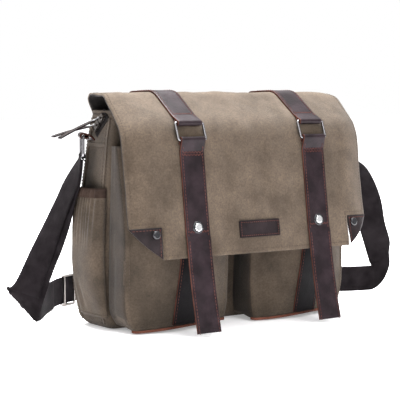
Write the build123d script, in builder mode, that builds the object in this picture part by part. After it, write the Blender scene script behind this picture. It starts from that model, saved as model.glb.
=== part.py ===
"""Canvas messenger bag with a leather-strapped front flap, two bellows pockets and a shoulder strap.

Millimetres. +Z is up, -Y is the front, +X is to the right as seen from the front.
The origin is the centre of the flat base, midway between the left and right sides.
"""
from build123d import *
import os
from math import cos, radians, sin

os.makedirs("parts", exist_ok=True)

# Driving dimensions of the bag body: height, half width, front and back at each level
BODY = [
    (0, 172, -20, 48),
    (14, 179, -24, 57),
    (90, 184, -26, 66),
    (170, 181, -30, 50),
    (240, 177, -34, 38),
    (278, 172, -33, 30),
]
BODY_CORNER = 12
WALL = 2.2
LINING = 1.1
SEAM_GAP = 0.15
BOARD = (320, 54, 2.5)
BOARD_Y = 15

# Front bellows pockets: height, front at the side edges, front at the middle
POCKET = [(5, -60, -72), (90, -66, -93), (140, -64, -94), (235, -48, -64)]
POCKET_OUTER = 178
POCKET_INNER = 17
POCKET_STRIP = (9, 228)
PIPING_RADIUS = 1.5
STRAP_X = (POCKET_OUTER + POCKET_INNER) / 2

# Side pockets: height and half width at each level, then how far they run fore and aft
SIDE_POCKET = [(16, 184.5), (60, 198), (100, 202), (150, 197.5), (181, 192)]
SIDE_POCKET_Y = (-25, 42)
MOUTH = SIDE_POCKET[-1][0]
TRIM = (11, 2.3)

# Flap: the outer face of its cloth in the YZ plane, from the seam on the back to the front hem
FLAP_POINTS = [(37.4, 252), (28.6, 301.5), (-30, 303), (-87, 262), (-109, 97)]
FLAP_RADII = [12, 30, 45]
FLAP_CLOTH = 1.6
FLAP_LINING = 1.0
FLAP_PLAN = [(172, 60), (176, 31), (189, -40), (192, -130)]
ROOT_TOP = 275
PANEL_START = 289
NOTCH_X = 150
NOTCH_Z = 137

# Leather straps and their metal rings on the flap
STRAP_WIDTH = 36
LEATHER = 2.3
FLAP_RING = (45, 26)
RING_SHARE = 0.72  # how far down the curved shoulder of the flap the ring sits
RING_WIRE = 3.2
RING_STANDOFF = 3.2
BAR_PLAY = 0.35
STUD_Z = 134
STUD_SHANK = 1.95
STUD_HOLE = 2.1
STUD_HEAD = (5.2, 2.2)
SOCKET = (6, 2.4)
POST = (2.6, 1.4)
CORNER_SNAP = (5.5, 2.6)
LABEL = (64, 22, 1.6)
LABEL_Z = 128
CROSS_STITCH_Z = 122.5
TAIL_GAP = 4
TAIL_LENGTH = 117
TAIL_THICK = 3
TAIL_LEAN = 11.3

# Zipped closure across the top and down the sides
TOP_Z = 278.3
ZIP_Y = -1.5
ZIP_HALF = 150
CLOSURE_DEPTH = 25
RIM = (343, 62)
TEETH = (2.4, 1.2)
CLOTH = 1.5
ZIP_RUN_CENTRE = (174.4, 2, 260)
ZIP_RUN_TILT = 7.5
ZIP_RUN = (-12, 22)
TAPE_WIDTH = 18

# The two zip sliders: a body, two lugs with a pin, a metal link and a leather pull each
SLIDER = (11, 8.5, 3)
SLIDER_STEP = 12.5
SLIDER_SEAT = 2.3
LUG = (5.2, 2.4, 1.2)
LUG_SPREAD = 2.7
PIN = 0.6
BARREL = (1.6, 3.4)
LINK = (13, 6.4, 1.4)
LINK_REACH = 8
PULL = (52, 8, 2.2)
PULL_PIVOT = 7.6
PULL_DROP = {"upper": 23.3, "lower": 12.9}

# Side rings and shoulder strap
TAB_AXIS = (20, 240)
TAB_RISE = 7
TAB_NECK = (20, 3.6)
TAB_PLANE = 180.4
TAB_WIDTH = 36
SIDE_RING_X = 190
SIDE_RING = (47, 29)
SIDE_WIRE = 3.6
RING_TURN = 64
WEBBING = 38
WEBBING_THICK = 1.8
ADJUSTER = (28, 43)
ADJUSTER_BAR = 2.4
ADJUSTER_AT = (-110, 200.5)


def save(part, name):
    """Label one finished piece and write its STEP file."""
    part.label = name
    export_step(part, f"parts/{name}.step")


def side_name(side):
    return "left" if side < 0 else "right"


def between(table, z):
    """Read a table of (height, values...) at one height, straight between its rows."""
    for low, high in zip(table, table[1:]):
        if z <= high[0]:
            break
    share = (z - low[0]) / (high[0] - low[0])
    return [a + (b - a) * share for a, b in zip(low[1:], high[1:])]


def levels(low, high):
    """The heights from low to high at which the body or the pockets change slope."""
    bends = {row[0] for row in BODY + POCKET if low < row[0] < high}
    return [low] + sorted(bends) + [high]


def body_sections(inset, low, high):
    """Rounded rectangles of the bag body, one for each level, set in from its outside."""
    sections = []
    for z in levels(low, high):
        half, front, back = between(BODY, z)
        with BuildSketch(Plane.XY.offset(z)) as section:
            with Locations((0, (front + back) / 2)):
                RectangleRounded(2 * (half - inset), back - front - 2 * inset, BODY_CORNER - inset)
        sections.append(section.sketch)
    return sections


def pocket_sections(side, inset, low, high, back_shift):
    """Plan outlines of a bellows pocket: straight sides and a bowed front, set in by the wall."""
    sections = []
    for z in levels(low, high):
        edge, middle = between(POCKET, z)
        back = between(BODY, z)[1] - SEAM_GAP + back_shift
        outer = side * (POCKET_OUTER - inset)
        inner = side * (POCKET_INNER + inset)
        with BuildSketch(Plane.XY.offset(z)) as section:
            with BuildLine():
                Polyline((outer, edge + inset), (outer, back), (inner, back), (inner, edge + inset))
                ThreePointArc((inner, edge + inset), (side * STRAP_X, middle + inset), (outer, edge + inset))
            make_face()
        sections.append(section.sketch)
    return sections


def offset_path(distance):
    """The flap's corner points moved outwards by a distance, keeping its legs parallel."""
    points = [Vector(*point) for point in FLAP_POINTS]
    normals = []
    for start, end in zip(points, points[1:]):
        along = (end - start).normalized()
        normals.append(Vector(along.Y, -along.X))
    moved = [points[0] + normals[0] * distance]
    for point, before, after in zip(points[1:], normals, normals[1:]):
        moved.append(point + (before + after) * (distance / (1 + before.dot(after))))
    moved.append(points[-1] + normals[-1] * distance)
    return [(point.X, point.Y) for point in moved]


def flap_layer(near, far, x=0):
    """Cross-section of a layer that follows the flap between two distances from its outer face."""
    with BuildSketch(Plane.YZ.offset(x)) as layer:
        with BuildLine():
            inner = FilletPolyline(*offset_path(near), radius=[r + near for r in FLAP_RADII])
            outer = FilletPolyline(*offset_path(far), radius=[r + far for r in FLAP_RADII])
            Line(inner @ 0, outer @ 0)
            Line(inner @ 1, outer @ 1)
        make_face()
    return layer.sketch


def flap_front(z):
    """The y of the flap's outer face on its straight front leg."""
    (top_y, top_z), (hem_y, hem_z) = FLAP_POINTS[-2:]
    return hem_y + (top_y - hem_y) * (z - hem_z) / (top_z - hem_z)


def front_plane(x, z):
    """A plane on the flap's front: local X is right, local Y is up the cloth, normal points out."""
    run = Vector(0, flap_front(z + 1) - flap_front(z), 1).normalized()
    return Plane(origin=(x, flap_front(z), z), x_dir=(1, 0, 0), z_dir=(0, -run.Z, run.Y))


with BuildLine(Plane.YZ) as flap_curve:
    FilletPolyline(*FLAP_POINTS, radius=FLAP_RADII)
SHOULDER = flap_curve.edges().filter_by(GeomType.CIRCLE).sort_by(Axis.Y)[0]
RING_CENTRE = SHOULDER @ RING_SHARE
DOWN_FLAP = SHOULDER % RING_SHARE


def ring_plane(x):
    """The plane of a flap ring, lying on the curved shoulder of the flap."""
    normal = Vector(0, DOWN_FLAP.Z, -DOWN_FLAP.Y)
    origin = Vector(x, RING_CENTRE.Y, RING_CENTRE.Z) + normal * RING_STANDOFF
    return Plane(origin=origin, x_dir=(1, 0, 0), z_dir=normal)


def zip_run_plane(side):
    """The sloping side face under the zip: local Y runs up the zip line, normal points out."""
    x, y, z = ZIP_RUN_CENTRE
    tilt = radians(ZIP_RUN_TILT)
    normal = Vector(side * cos(tilt), 0, sin(tilt))
    up_side = Vector(-side * sin(tilt), 0, cos(tilt))
    along = (Vector(0, -30, 0) + up_side * 32).normalized()
    across = along.cross(normal)
    return Plane(origin=(side * x, y, z), x_dir=across, z_dir=normal)


def bar_direction(side):
    """Level direction of a side ring's bars, turned out of the fore-and-aft line."""
    turn = radians(RING_TURN)
    return Vector(-side * cos(turn), sin(turn), 0)


# ---------------------------------------------------------------- bag body
with BuildPart() as main_shell:
    loft(body_sections(0, 0, TOP_Z - 0.3), ruled=True)
    loft(body_sections(WALL, WALL, TOP_Z - 0.3), ruled=True, mode=Mode.SUBTRACT)
save(main_shell.part, "main_shell")

lining_out = WALL + SEAM_GAP
with BuildPart() as lining:
    loft(body_sections(lining_out, lining_out, TOP_Z - 1), ruled=True)
    loft(body_sections(lining_out + LINING, lining_out + LINING, TOP_Z - 1), ruled=True, mode=Mode.SUBTRACT)
save(lining.part, "lining")

BOARD_Z = lining_out + LINING + SEAM_GAP
with BuildPart() as base_board:
    with BuildSketch(Plane.XY.offset(BOARD_Z)):
        with Locations((0, BOARD_Y)):
            RectangleRounded(BOARD[0], BOARD[1], 10)
    extrude(amount=BOARD[2])
save(base_board.part, "base_board")

with BuildPart() as top_rim:
    with BuildSketch(Plane.XY.offset(TOP_Z - 0.2)):
        with Locations((0, ZIP_Y)):
            RectangleRounded(*RIM, BODY_CORNER - 1)
            Rectangle(2 * ZIP_HALF + 1, 2 * CLOSURE_DEPTH + 1.8, mode=Mode.SUBTRACT)
    extrude(amount=CLOTH)
save(top_rim.part, "top_rim")


# ---------------------------------------------------------------- zipped top closure
def zip_panel(side):
    """One half of the top closure, hinged along the front (-1) or back (+1) edge."""
    with BuildPart() as panel:
        with BuildSketch(Plane.XY.offset(TOP_Z)):
            with Locations((0, ZIP_Y + side * (CLOSURE_DEPTH / 2 + 0.5))):
                Rectangle(2 * ZIP_HALF, CLOSURE_DEPTH)
        extrude(amount=CLOTH)
    return panel.part


def zip_teeth(side):
    """One row of zip teeth along the free edge of a closure half."""
    with BuildPart() as teeth:
        with BuildSketch(Plane.XY.offset(TOP_Z + CLOTH + 0.1)):
            with Locations((0, ZIP_Y + side * (TEETH[0] / 2 + 0.4))):
                Rectangle(2 * ZIP_HALF, TEETH[0])
        extrude(amount=TEETH[1])
    return teeth.part


for side, place in ((-1, "front"), (1, "back")):
    save(zip_panel(side), f"zip_panel_{place}")
    save(zip_teeth(side), f"zip_teeth_{place}")


def zip_tape(side):
    """The short zip run that slopes down the side of the bag, with its teeth and bottom stop."""
    run = zip_run_plane(side)
    low, high = ZIP_RUN
    middle = (low + high) / 2
    stop = 2.4
    layers = [
        (SEAM_GAP, middle, TAPE_WIDTH, high - low, 1),
        (1.1, middle, 4, high - low, 0.9),
        (1.1, low + stop / 2, 6, stop, 2),
    ]
    with BuildPart() as tape:
        for base, place, width, length, thickness in layers:
            with BuildSketch(run.offset(base)):
                with Locations((0, place)):
                    Rectangle(width, length)
            extrude(amount=thickness)
    return tape.part


def pull_frame(step, drop):
    """Plane of a zip pull: origin at its pin, local X outwards along the pull, normal up."""
    pivot = zip_run_plane(-1).from_local_coords(Vector(0, step, PULL_PIVOT))
    tilt = radians(drop)
    return Plane(origin=pivot, x_dir=(-cos(tilt), 0, -sin(tilt)), z_dir=(-sin(tilt), 0, cos(tilt)))


def zip_slider(step, pivot):
    """A zip slider on the left run: a rounded body over the teeth and two lugs with a pin."""
    length, width, height = SLIDER
    seat = zip_run_plane(-1).offset(SLIDER_SEAT)
    level = Plane(origin=pivot, x_dir=(1, 0, 0), z_dir=(0, 1, 0))
    with BuildPart() as slider:
        with BuildSketch(seat):
            with Locations((0, step)):
                RectangleRounded(width, length, 2.5)
        extrude(amount=height)
        for place in (-1, 1):
            with BuildSketch(level.offset(LUG_SPREAD * place - LUG[2] / 2)):
                with Locations((2, 0)):
                    Rectangle(LUG[0], LUG[1])
            extrude(amount=LUG[2])
        with BuildSketch(level):
            Circle(PIN)
        extrude(amount=LUG_SPREAD, both=True)
    return slider.part


def pull_link(frame):
    """The metal link between a slider's pin and its leather pull."""
    turned = Plane(origin=frame.origin, x_dir=frame.x_dir, z_dir=(0, 1, 0))
    length, width, thickness = LINK
    radius, span = BARREL
    with BuildPart() as link:
        with BuildSketch(frame):
            with Locations((LINK_REACH, 0)):
                RectangleRounded(length, width, 2.4)
            with Locations((span / 2, 0)):
                Rectangle(span, span)
        extrude(amount=thickness / 2, both=True)
        with BuildSketch(turned):
            Circle(radius)
        extrude(amount=span / 2, both=True)
        with BuildSketch(turned):
            Circle(PIN + 0.3)
        extrude(amount=span / 2, both=True, mode=Mode.SUBTRACT)
    return link.part


def pull_leather(frame):
    """The folded leather pull, slit at its root to hold the link."""
    length, width, thickness = PULL
    with BuildPart() as leather:
        with BuildSketch(frame):
            with Locations((LINK_REACH + 2 + length / 2, 0)):
                RectangleRounded(length, width, 3)
        extrude(amount=thickness / 2, both=True)
        with BuildSketch(frame):
            with Locations((LINK_REACH, 0)):
                Rectangle(LINK[0] + 0.6, width + 1)
        extrude(amount=LINK[2] / 2 + 0.1, both=True, mode=Mode.SUBTRACT)
    return leather.part


for side in (-1, 1):
    save(zip_tape(side), f"zip_tape_{side_name(side)}")
for name, step in (("upper", SLIDER_STEP), ("lower", 0)):
    frame = pull_frame(step, PULL_DROP[name])
    save(zip_slider(step, frame.origin), f"slider_{name}")
    save(pull_link(frame), f"pull_link_{name}")
    save(pull_leather(frame), f"pull_leather_{name}")


# ---------------------------------------------------------------- front pockets
def front_pocket(side):
    """A bellows pocket, open at the top; the bag's front face closes its back."""
    low, high = POCKET[0][0], POCKET[-1][0]
    with BuildPart() as pocket:
        loft(pocket_sections(side, 0, low, high, 0), ruled=True)
        loft(pocket_sections(side, WALL, low + WALL, high, 12), ruled=True, mode=Mode.SUBTRACT)
    return pocket.part


def pocket_piping(side):
    """Leather piping sewn round the bottom edge of a pocket's front."""
    z = POCKET[0][0]
    edge, middle = between(POCKET, z)
    with BuildPart() as piping:
        with BuildLine(Plane.XY.offset(z + 1.8)) as path:
            ThreePointArc(
                (side * (POCKET_OUTER - 3), edge - 3),
                (side * STRAP_X, middle - 2.4),
                (side * (POCKET_INNER + 3), edge - 3),
            )
        with BuildSketch(Plane(origin=path.wire() @ 0, z_dir=path.wire() % 0)):
            Circle(PIPING_RADIUS)
        sweep()
    return piping.part


def pocket_strip(side):
    """The leather strip down the middle of a pocket, which the flap snaps onto."""
    low, high = POCKET_STRIP
    face = [(between(POCKET, z)[1] - SEAM_GAP, z) for z in levels(low, high)]
    back_to_front = face + [(y - LEATHER, z) for y, z in reversed(face)]
    with BuildPart() as strip:
        with BuildSketch(Plane.YZ.offset(side * STRAP_X)):
            Polygon(*back_to_front, align=None)
        extrude(amount=STRAP_WIDTH / 2, both=True)
    return strip.part


for side in (-1, 1):
    save(front_pocket(side), f"front_pocket_{side_name(side)}")
    save(pocket_piping(side), f"pocket_piping_{side_name(side)}")
    save(pocket_strip(side), f"pocket_strip_{side_name(side)}")


# ---------------------------------------------------------------- side pockets

def side_pocket(side):
    """An open-topped slip pocket that bulges out from the side of the bag."""
    front, back = SIDE_POCKET_Y
    body_side = [(between(BODY, z)[0] + SEAM_GAP, z) for z in reversed(levels(SIDE_POCKET[0][0], MOUTH))]
    outside = [(x, z) for z, x in SIDE_POCKET]
    inside = [(x - WALL, z) for z, x in SIDE_POCKET]
    floor_z = SIDE_POCKET[0][0] + WALL
    with BuildPart() as pocket:
        with BuildSketch(Plane.XZ.offset(-front)) as profile:
            Polygon(*[(side * x, z) for x, z in outside + body_side], align=None)
        extrude(amount=front - back)
        with BuildSketch(Plane.XZ.offset(-front - WALL)):
            hollow = [(inside[0][0], floor_z)] + inside[1:] + [(170, MOUTH), (170, floor_z)]
            Polygon(*[(side * x, z) for x, z in hollow], align=None)
        extrude(amount=front - back + 2 * WALL, mode=Mode.SUBTRACT)
    return pocket.part


def side_trim(side):
    """The gathered elastic band along the mouth of a side pocket."""
    front, back = SIDE_POCKET_Y
    depth, thickness = TRIM
    near = [(between(SIDE_POCKET, z)[0] + 0.3, z) for z in (MOUTH - depth, MOUTH)]
    far = [(x + thickness, z) for x, z in reversed(near)]
    with BuildPart() as trim:
        with BuildSketch(Plane.XZ.offset(-front)):
            Polygon(*[(side * x, z) for x, z in near + far], align=None)
        extrude(amount=front - back)
    return trim.part


for side in (-1, 1):
    save(side_pocket(side), f"side_pocket_{side_name(side)}")
    save(side_trim(side), f"side_pocket_trim_{side_name(side)}")


# ---------------------------------------------------------------- flap
HALF_FLAP = FLAP_PLAN[-1][0]
NOTCH_Y = -105


def back_box(low, high, half):
    """The block behind the bag's top edge between two heights, used to part root from panel."""
    return Box(2 * half, 50, high - low, align=(Align.CENTER, Align.MIN, Align.MIN), mode=Mode.PRIVATE).moved(
        Location((0, 12, low))
    )


def flap_outline():
    """The flap's plan: narrow at the back seam, wider in front."""
    plan = [(x, y) for x, y in FLAP_PLAN] + [(-x, y) for x, y in reversed(FLAP_PLAN)]
    with BuildSketch() as outline:
        Polygon(*plan, align=None)
    return outline.sketch


def notch_box(side):
    """The block cut out of a lower corner of the flap."""
    block = Box(60, 60, 60, align=(Align.MIN, Align.CENTER, Align.MAX), mode=Mode.PRIVATE)
    if side < 0:
        block = block.mirror(Plane.YZ)
    return block.moved(Location((side * NOTCH_X, NOTCH_Y, NOTCH_Z)))


def flap_sheet(near, far, hem_margin):
    """One cloth layer of the flap, trimmed to its plan, its notches and the hinge line."""
    with BuildPart() as sheet:
        extrude(flap_layer(near, far), amount=HALF_FLAP, both=True)
        extrude(flap_outline(), amount=400, mode=Mode.INTERSECT)
        add(back_box(200, PANEL_START, HALF_FLAP), mode=Mode.SUBTRACT)
        for side in (-1, 1):
            add(notch_box(side), mode=Mode.SUBTRACT)
        for side in (-1, 1):
            with Locations(front_plane(side * STRAP_X, STUD_Z)):
                Cylinder(STUD_HOLE, 20, mode=Mode.SUBTRACT)
        if hem_margin:
            with Locations((0, NOTCH_Y, FLAP_POINTS[-1][1])):
                Box(3 * HALF_FLAP, 60, 2 * hem_margin, mode=Mode.SUBTRACT)
    return sheet.part


ROOT_HALF = 165
with BuildPart() as flap_root:
    extrude(flap_layer(-FLAP_CLOTH, 0), amount=ROOT_HALF, both=True)
    add(back_box(200, ROOT_TOP, ROOT_HALF), mode=Mode.INTERSECT)
save(flap_root.part, "flap_root")
save(flap_sheet(-FLAP_CLOTH, 0, 0), "flap_panel")
lining_near = -FLAP_CLOTH - SEAM_GAP
save(flap_sheet(lining_near - FLAP_LINING, lining_near, 4), "flap_lining")

RING_HALF = FLAP_RING[1] / 2 - RING_WIRE / 2
LOOP_IN = RING_WIRE / 2 + BAR_PLAY
LOOP_OUT = LOOP_IN + LEATHER


def flap_ring(x):
    """A rectangular wire ring that joins an upper strap to a lower strap."""
    width, height = FLAP_RING
    plane = ring_plane(x)
    with BuildPart() as ring:
        with BuildSketch(plane.offset(-RING_WIRE / 2)):
            RectangleRounded(width, height, RING_WIRE + 1)
            RectangleRounded(width - 2 * RING_WIRE, height - 2 * RING_WIRE, 1, mode=Mode.SUBTRACT)
        extrude(amount=RING_WIRE)
        fillet(ring.edges(), 1.2)
    return ring.part


def strap_on_flap(x, part_name):
    """A leather strap lying on the flap, ending in a sewn loop round one bar of the ring."""
    plane = ring_plane(x)
    up = 1 if part_name == "upper" else -1
    bar = plane.from_local_coords(Vector(0, up * RING_HALF, 0))
    beyond = 200
    with BuildPart() as strap:
        extrude(flap_layer(SEAM_GAP, SEAM_GAP + LEATHER, x), amount=STRAP_WIDTH / 2, both=True)
        with Locations(plane):
            with Locations((0, up * (RING_HALF - beyond), 0)):
                Box(60, 2 * beyond, 3 * beyond, mode=Mode.SUBTRACT)
        if up > 0:
            add(back_box(200, PANEL_START, HALF_FLAP), mode=Mode.SUBTRACT)
        else:
            with Locations((x, -60, CROSS_STITCH_Z - 50)):
                Box(60, 200, 100, mode=Mode.SUBTRACT)
            with Locations(front_plane(x, STUD_Z)):
                Cylinder(STUD_HOLE, 20, mode=Mode.SUBTRACT)
        with BuildSketch(Plane.YZ.offset(x)):
            with Locations((bar.Y, bar.Z)):
                Circle(LOOP_OUT)
        extrude(amount=STRAP_WIDTH / 2, both=True)
        with BuildSketch(Plane.YZ.offset(x)):
            with Locations((bar.Y, bar.Z)):
                Circle(LOOP_IN)
        extrude(amount=STRAP_WIDTH / 2, both=True, mode=Mode.SUBTRACT)
    return strap.part


def strap_root(x):
    """The end of an upper strap, sewn to the back of the bag under the flap's seam."""
    with BuildPart() as root:
        extrude(flap_layer(SEAM_GAP, SEAM_GAP + LEATHER, x), amount=STRAP_WIDTH / 2, both=True)
        add(back_box(200, ROOT_TOP, HALF_FLAP), mode=Mode.INTERSECT)
    return root.part


TAIL_TOP = CROSS_STITCH_Z - TAIL_GAP


def strap_tail(x):
    """The doubled free end of a strap below its cross stitch, standing off the pocket."""
    top_y = flap_front(TAIL_TOP) - SEAM_GAP - TAIL_THICK / 2 - 0.6
    lean = radians(TAIL_LEAN)
    hang = Plane(origin=(x, top_y, TAIL_TOP), x_dir=(1, 0, 0), z_dir=(0, -cos(lean), sin(lean)))
    with BuildPart() as tail:
        with BuildSketch(hang):
            with Locations((0, -TAIL_LENGTH / 2)):
                RectangleRounded(STRAP_WIDTH, TAIL_LENGTH, 1.5)
        extrude(amount=TAIL_THICK / 2, both=True)
    return tail.part


for side in (-1, 1):
    x = side * STRAP_X
    save(flap_ring(x), f"flap_ring_{side_name(side)}")
    save(strap_on_flap(x, "upper"), f"upper_strap_{side_name(side)}")
    save(strap_on_flap(x, "lower"), f"lower_strap_{side_name(side)}")
    save(strap_root(x), f"strap_root_{side_name(side)}")
    save(strap_tail(x), f"strap_tail_{side_name(side)}")

# Snap studs through the straps, their sockets under the flap and posts on the pocket strips
UNDER_FLAP = FLAP_CLOTH + SEAM_GAP + FLAP_LINING
with BuildPart() as snap_studs:
    for side in (-1, 1):
        seat = front_plane(side * STRAP_X, STUD_Z)
        with BuildSketch(seat.offset(-UNDER_FLAP)):
            Circle(STUD_SHANK)
        extrude(amount=UNDER_FLAP + LEATHER + 0.4)
        with BuildSketch(seat.offset(LEATHER + SEAM_GAP + 0.1)):
            Circle(STUD_HEAD[0])
        extrude(amount=STUD_HEAD[1])
    fillet(snap_studs.edges().filter_by(GeomType.CIRCLE).group_by(Axis.Y)[0], 1)
save(snap_studs.part, "snap_studs")

with BuildPart() as snap_sockets:
    for side in (-1, 1):
        seat = front_plane(side * STRAP_X, STUD_Z).offset(-UNDER_FLAP - 0.1)
        with BuildSketch(seat):
            Circle(SOCKET[0])
        extrude(amount=-SOCKET[1])
        with BuildSketch(seat.offset(-0.9)):
            Circle(POST[0] + 0.4)
        extrude(amount=-2, mode=Mode.SUBTRACT)
save(snap_sockets.part, "snap_sockets")

strip_front = between(POCKET, STUD_Z)[1] - SEAM_GAP - LEATHER - 0.3
socket_back = flap_front(STUD_Z) + UNDER_FLAP + SOCKET[1] + 0.8
with BuildPart() as snap_posts:
    for side in (-1, 1):
        base = Plane(origin=(side * STRAP_X, strip_front, STUD_Z), z_dir=(0, -1, 0))
        with BuildSketch(base):
            Circle(SOCKET[0])
        extrude(amount=POST[1])
        with BuildSketch(base):
            Circle(POST[0])
        extrude(amount=strip_front - socket_back)
save(snap_posts.part, "snap_posts")


def corner_tab(side):
    """A leather triangle that fills one cut corner of the flap."""
    near, far = side * (NOTCH_X + 0.3), side * (HALF_FLAP - 1)
    top, low = -0.3, FLAP_POINTS[-1][1] - NOTCH_Z + 1
    with BuildPart() as tab:
        with BuildSketch(front_plane(0, NOTCH_Z).offset(-FLAP_CLOTH)):
            with BuildLine():
                Polyline((near, low), (near, top), (far, top))
                ThreePointArc((far, top), (side * (NOTCH_X + 22.7), -21.8), (near, low))
            make_face()
        extrude(amount=LEATHER)
    return tab.part


for side in (-1, 1):
    save(corner_tab(side), f"corner_tab_{side_name(side)}")

with BuildPart() as corner_snaps:
    for side in (-1, 1):
        seat = front_plane(side * (NOTCH_X + 9), NOTCH_Z - 9).offset(LEATHER - FLAP_CLOTH + 0.1)
        with BuildSketch(seat):
            Circle(CORNER_SNAP[0])
        extrude(amount=CORNER_SNAP[1])
    fillet(corner_snaps.edges().filter_by(GeomType.CIRCLE).group_by(Axis.Y)[0], 1.8)
save(corner_snaps.part, "corner_snaps")

with BuildPart() as label_patch:
    label_face = front_plane(0, LABEL_Z).offset(SEAM_GAP)
    with BuildSketch(label_face):
        RectangleRounded(LABEL[0], LABEL[1], 1.5)
    extrude(amount=LABEL[2])
    with BuildSketch(label_face.offset(LABEL[2])):
        RectangleRounded(LABEL[0] - 7, LABEL[1] - 6, 1.5)
    extrude(amount=-0.3, mode=Mode.SUBTRACT)
save(label_patch.part, "label_patch")


# ---------------------------------------------------------------- shoulder strap hardware
RING_TOP = TAB_AXIS[1] + TAB_RISE
TAB_LOOP_IN = SIDE_WIRE / 2 + BAR_PLAY
TAB_LOOP_OUT = TAB_LOOP_IN + LEATHER


def tab_anchor(side):
    """The sewn root of a ring tab, coming out of the side seam."""
    y, z = TAB_AXIS
    start = between(BODY, z)[0] + SEAM_GAP
    with BuildPart() as anchor:
        with BuildSketch(Plane.YZ.offset(side * start)):
            with Locations((y, z)):
                Rectangle(*TAB_NECK)
        extrude(amount=side * (TAB_PLANE - start - 0.15))
    return anchor.part


def tab_loop(side):
    """The part of a ring tab that swings with the strap and wraps the ring's top bar."""
    y, z = TAB_AXIS
    bar = bar_direction(side)
    centre = Vector(side * SIDE_RING_X, y, RING_TOP)
    across = Plane(origin=centre, x_dir=(0, 0, 1), z_dir=bar)
    with BuildPart() as loop:
        with BuildSketch(Plane.YZ.offset(side * (TAB_PLANE + 0.15))):
            with Locations((y, z)):
                Rectangle(*TAB_NECK)
        with BuildSketch(Plane(origin=centre, x_dir=bar, z_dir=Vector(0, 0, 1).cross(bar))):
            Rectangle(TAB_WIDTH - 2, 4)
        loft(ruled=True)
        with BuildSketch(across):
            Circle(TAB_LOOP_OUT)
        extrude(amount=TAB_WIDTH / 2, both=True)
        with BuildSketch(across):
            Circle(TAB_LOOP_IN)
        extrude(amount=TAB_WIDTH / 2, both=True, mode=Mode.SUBTRACT)
    return loop.part


def side_ring(side):
    """The rectangular wire ring at the end of the shoulder strap."""
    width, height = SIDE_RING
    bar = bar_direction(side)
    centre = Vector(side * SIDE_RING_X, TAB_AXIS[0], RING_TOP - height / 2 + SIDE_WIRE / 2)
    plane = Plane(origin=centre, x_dir=bar, z_dir=bar.cross(Vector(0, 0, 1)))
    with BuildPart() as ring:
        with BuildSketch(plane.offset(-SIDE_WIRE / 2)):
            RectangleRounded(width, height, SIDE_WIRE + 1.5)
            RectangleRounded(width - 2 * SIDE_WIRE, height - 2 * SIDE_WIRE, 1.5, mode=Mode.SUBTRACT)
        extrude(amount=SIDE_WIRE)
        fillet(ring.edges(), 1.4)
    return ring.part


for side in (-1, 1):
    save(tab_anchor(side), f"tab_anchor_{side_name(side)}")
    save(tab_loop(side), f"tab_loop_{side_name(side)}")
    save(side_ring(side), f"side_ring_{side_name(side)}")

# ---------------------------------------------------------------- shoulder webbing
RING_BOTTOM = RING_TOP - SIDE_RING[1] + SIDE_WIRE
LOW = WEBBING / 2 + 0.2
LIFT = 2.5

# Each station: centre, compass bearing of the band's width (degrees from +X), rise of the width
# (degrees from level), and the width measured there
LEFT_STATIONS = [
    ((-190.5, 20, RING_BOTTOM - 5), 64, 0, WEBBING),
    ((-196.5, 31, 188), 88, 0, WEBBING),
    ((-202, 38, 162), 92, 0, WEBBING),
    ((-208, 46, 132), 100, 0, WEBBING),
    ((-216, 58, 100), 116, -5, WEBBING),
    ((-228, 74, 60), 136, -12, 42),
    ((-238.3, 94, 21.5), 177, 45, 57),
]
REAR_STATIONS = [
    ((-235, 95, 21), 177, 45, 57),
    ((-206, 108, LOW), 60, 90, WEBBING),
    ((-172, 152, LOW), 60, 90, WEBBING),
    ((-132, 189, LOW + LIFT), 60, 90, WEBBING),
    ((-88, 212, LOW + LIFT), 60, 90, WEBBING),
    ((-20, 226, LOW), 60, 90, WEBBING),
    ((60, 222, LOW), 60, 90, WEBBING),
    ((140, 196, LOW), 60, 90, WEBBING),
    ((210, 148, LOW), 60, 90, WEBBING),
    ((262, 100, LOW), 60, 90, WEBBING),
    ((306, 74, LOW), 60, 90, WEBBING),
    ((342, 64, LOW), 60, 90, WEBBING),
]
RIGHT_STATIONS = [
    ((343.6, 63.4, LOW), 128, 90, WEBBING),
    ((352.7, 60.7, 27), 155, 55, 34),
    ((357, 58.7, 40), 152, 8, 32),
    ((355.5, 58, 51.5), 143, -26, 34),
    ((347, 54, 75), 142, -8, 40),
    ((330, 48, 107), 144, 0, 41),
    ((317, 42, 141), 140, 0, 40),
    ((294, 34, 175), 132, 0, WEBBING),
    ((266, 27, 198), 124, 0, WEBBING),
    ((225, 23, 212), 116, 0, WEBBING),
    ((190.5, 20, RING_BOTTOM - 3.4), 116, 0, WEBBING),
]


def station_width(station):
    """The vector along a station's width."""
    _, bearing, rise, width = station
    level = cos(radians(rise)) * width
    return Vector(
        level * cos(radians(bearing)),
        level * sin(radians(bearing)),
        width * sin(radians(rise)),
    )


def webbing_band(stations):
    """A flat band of webbing through its stations, as one ruled solid."""
    centres = [Vector(*station[0]) for station in stations]
    sections = []
    for index, centre in enumerate(centres):
        ahead = centres[min(index + 1, len(centres) - 1)] - centres[max(index - 1, 0)]
        width = station_width(stations[index])
        normal = ahead.cross(width).normalized() * (WEBBING_THICK / 2)
        half = width / 2
        corners = [half + normal, normal - half, -half - normal, half - normal]
        outline = Wire.make_polygon([centre + corner for corner in corners], close=True)
        sections.append(Face(outline))
    with BuildPart() as band:
        loft(sections, ruled=True)
    return band.part


for name, stations in (("left", LEFT_STATIONS), ("rear", REAR_STATIONS), ("right", RIGHT_STATIONS)):
    save(webbing_band(stations), f"webbing_{name}")

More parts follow.
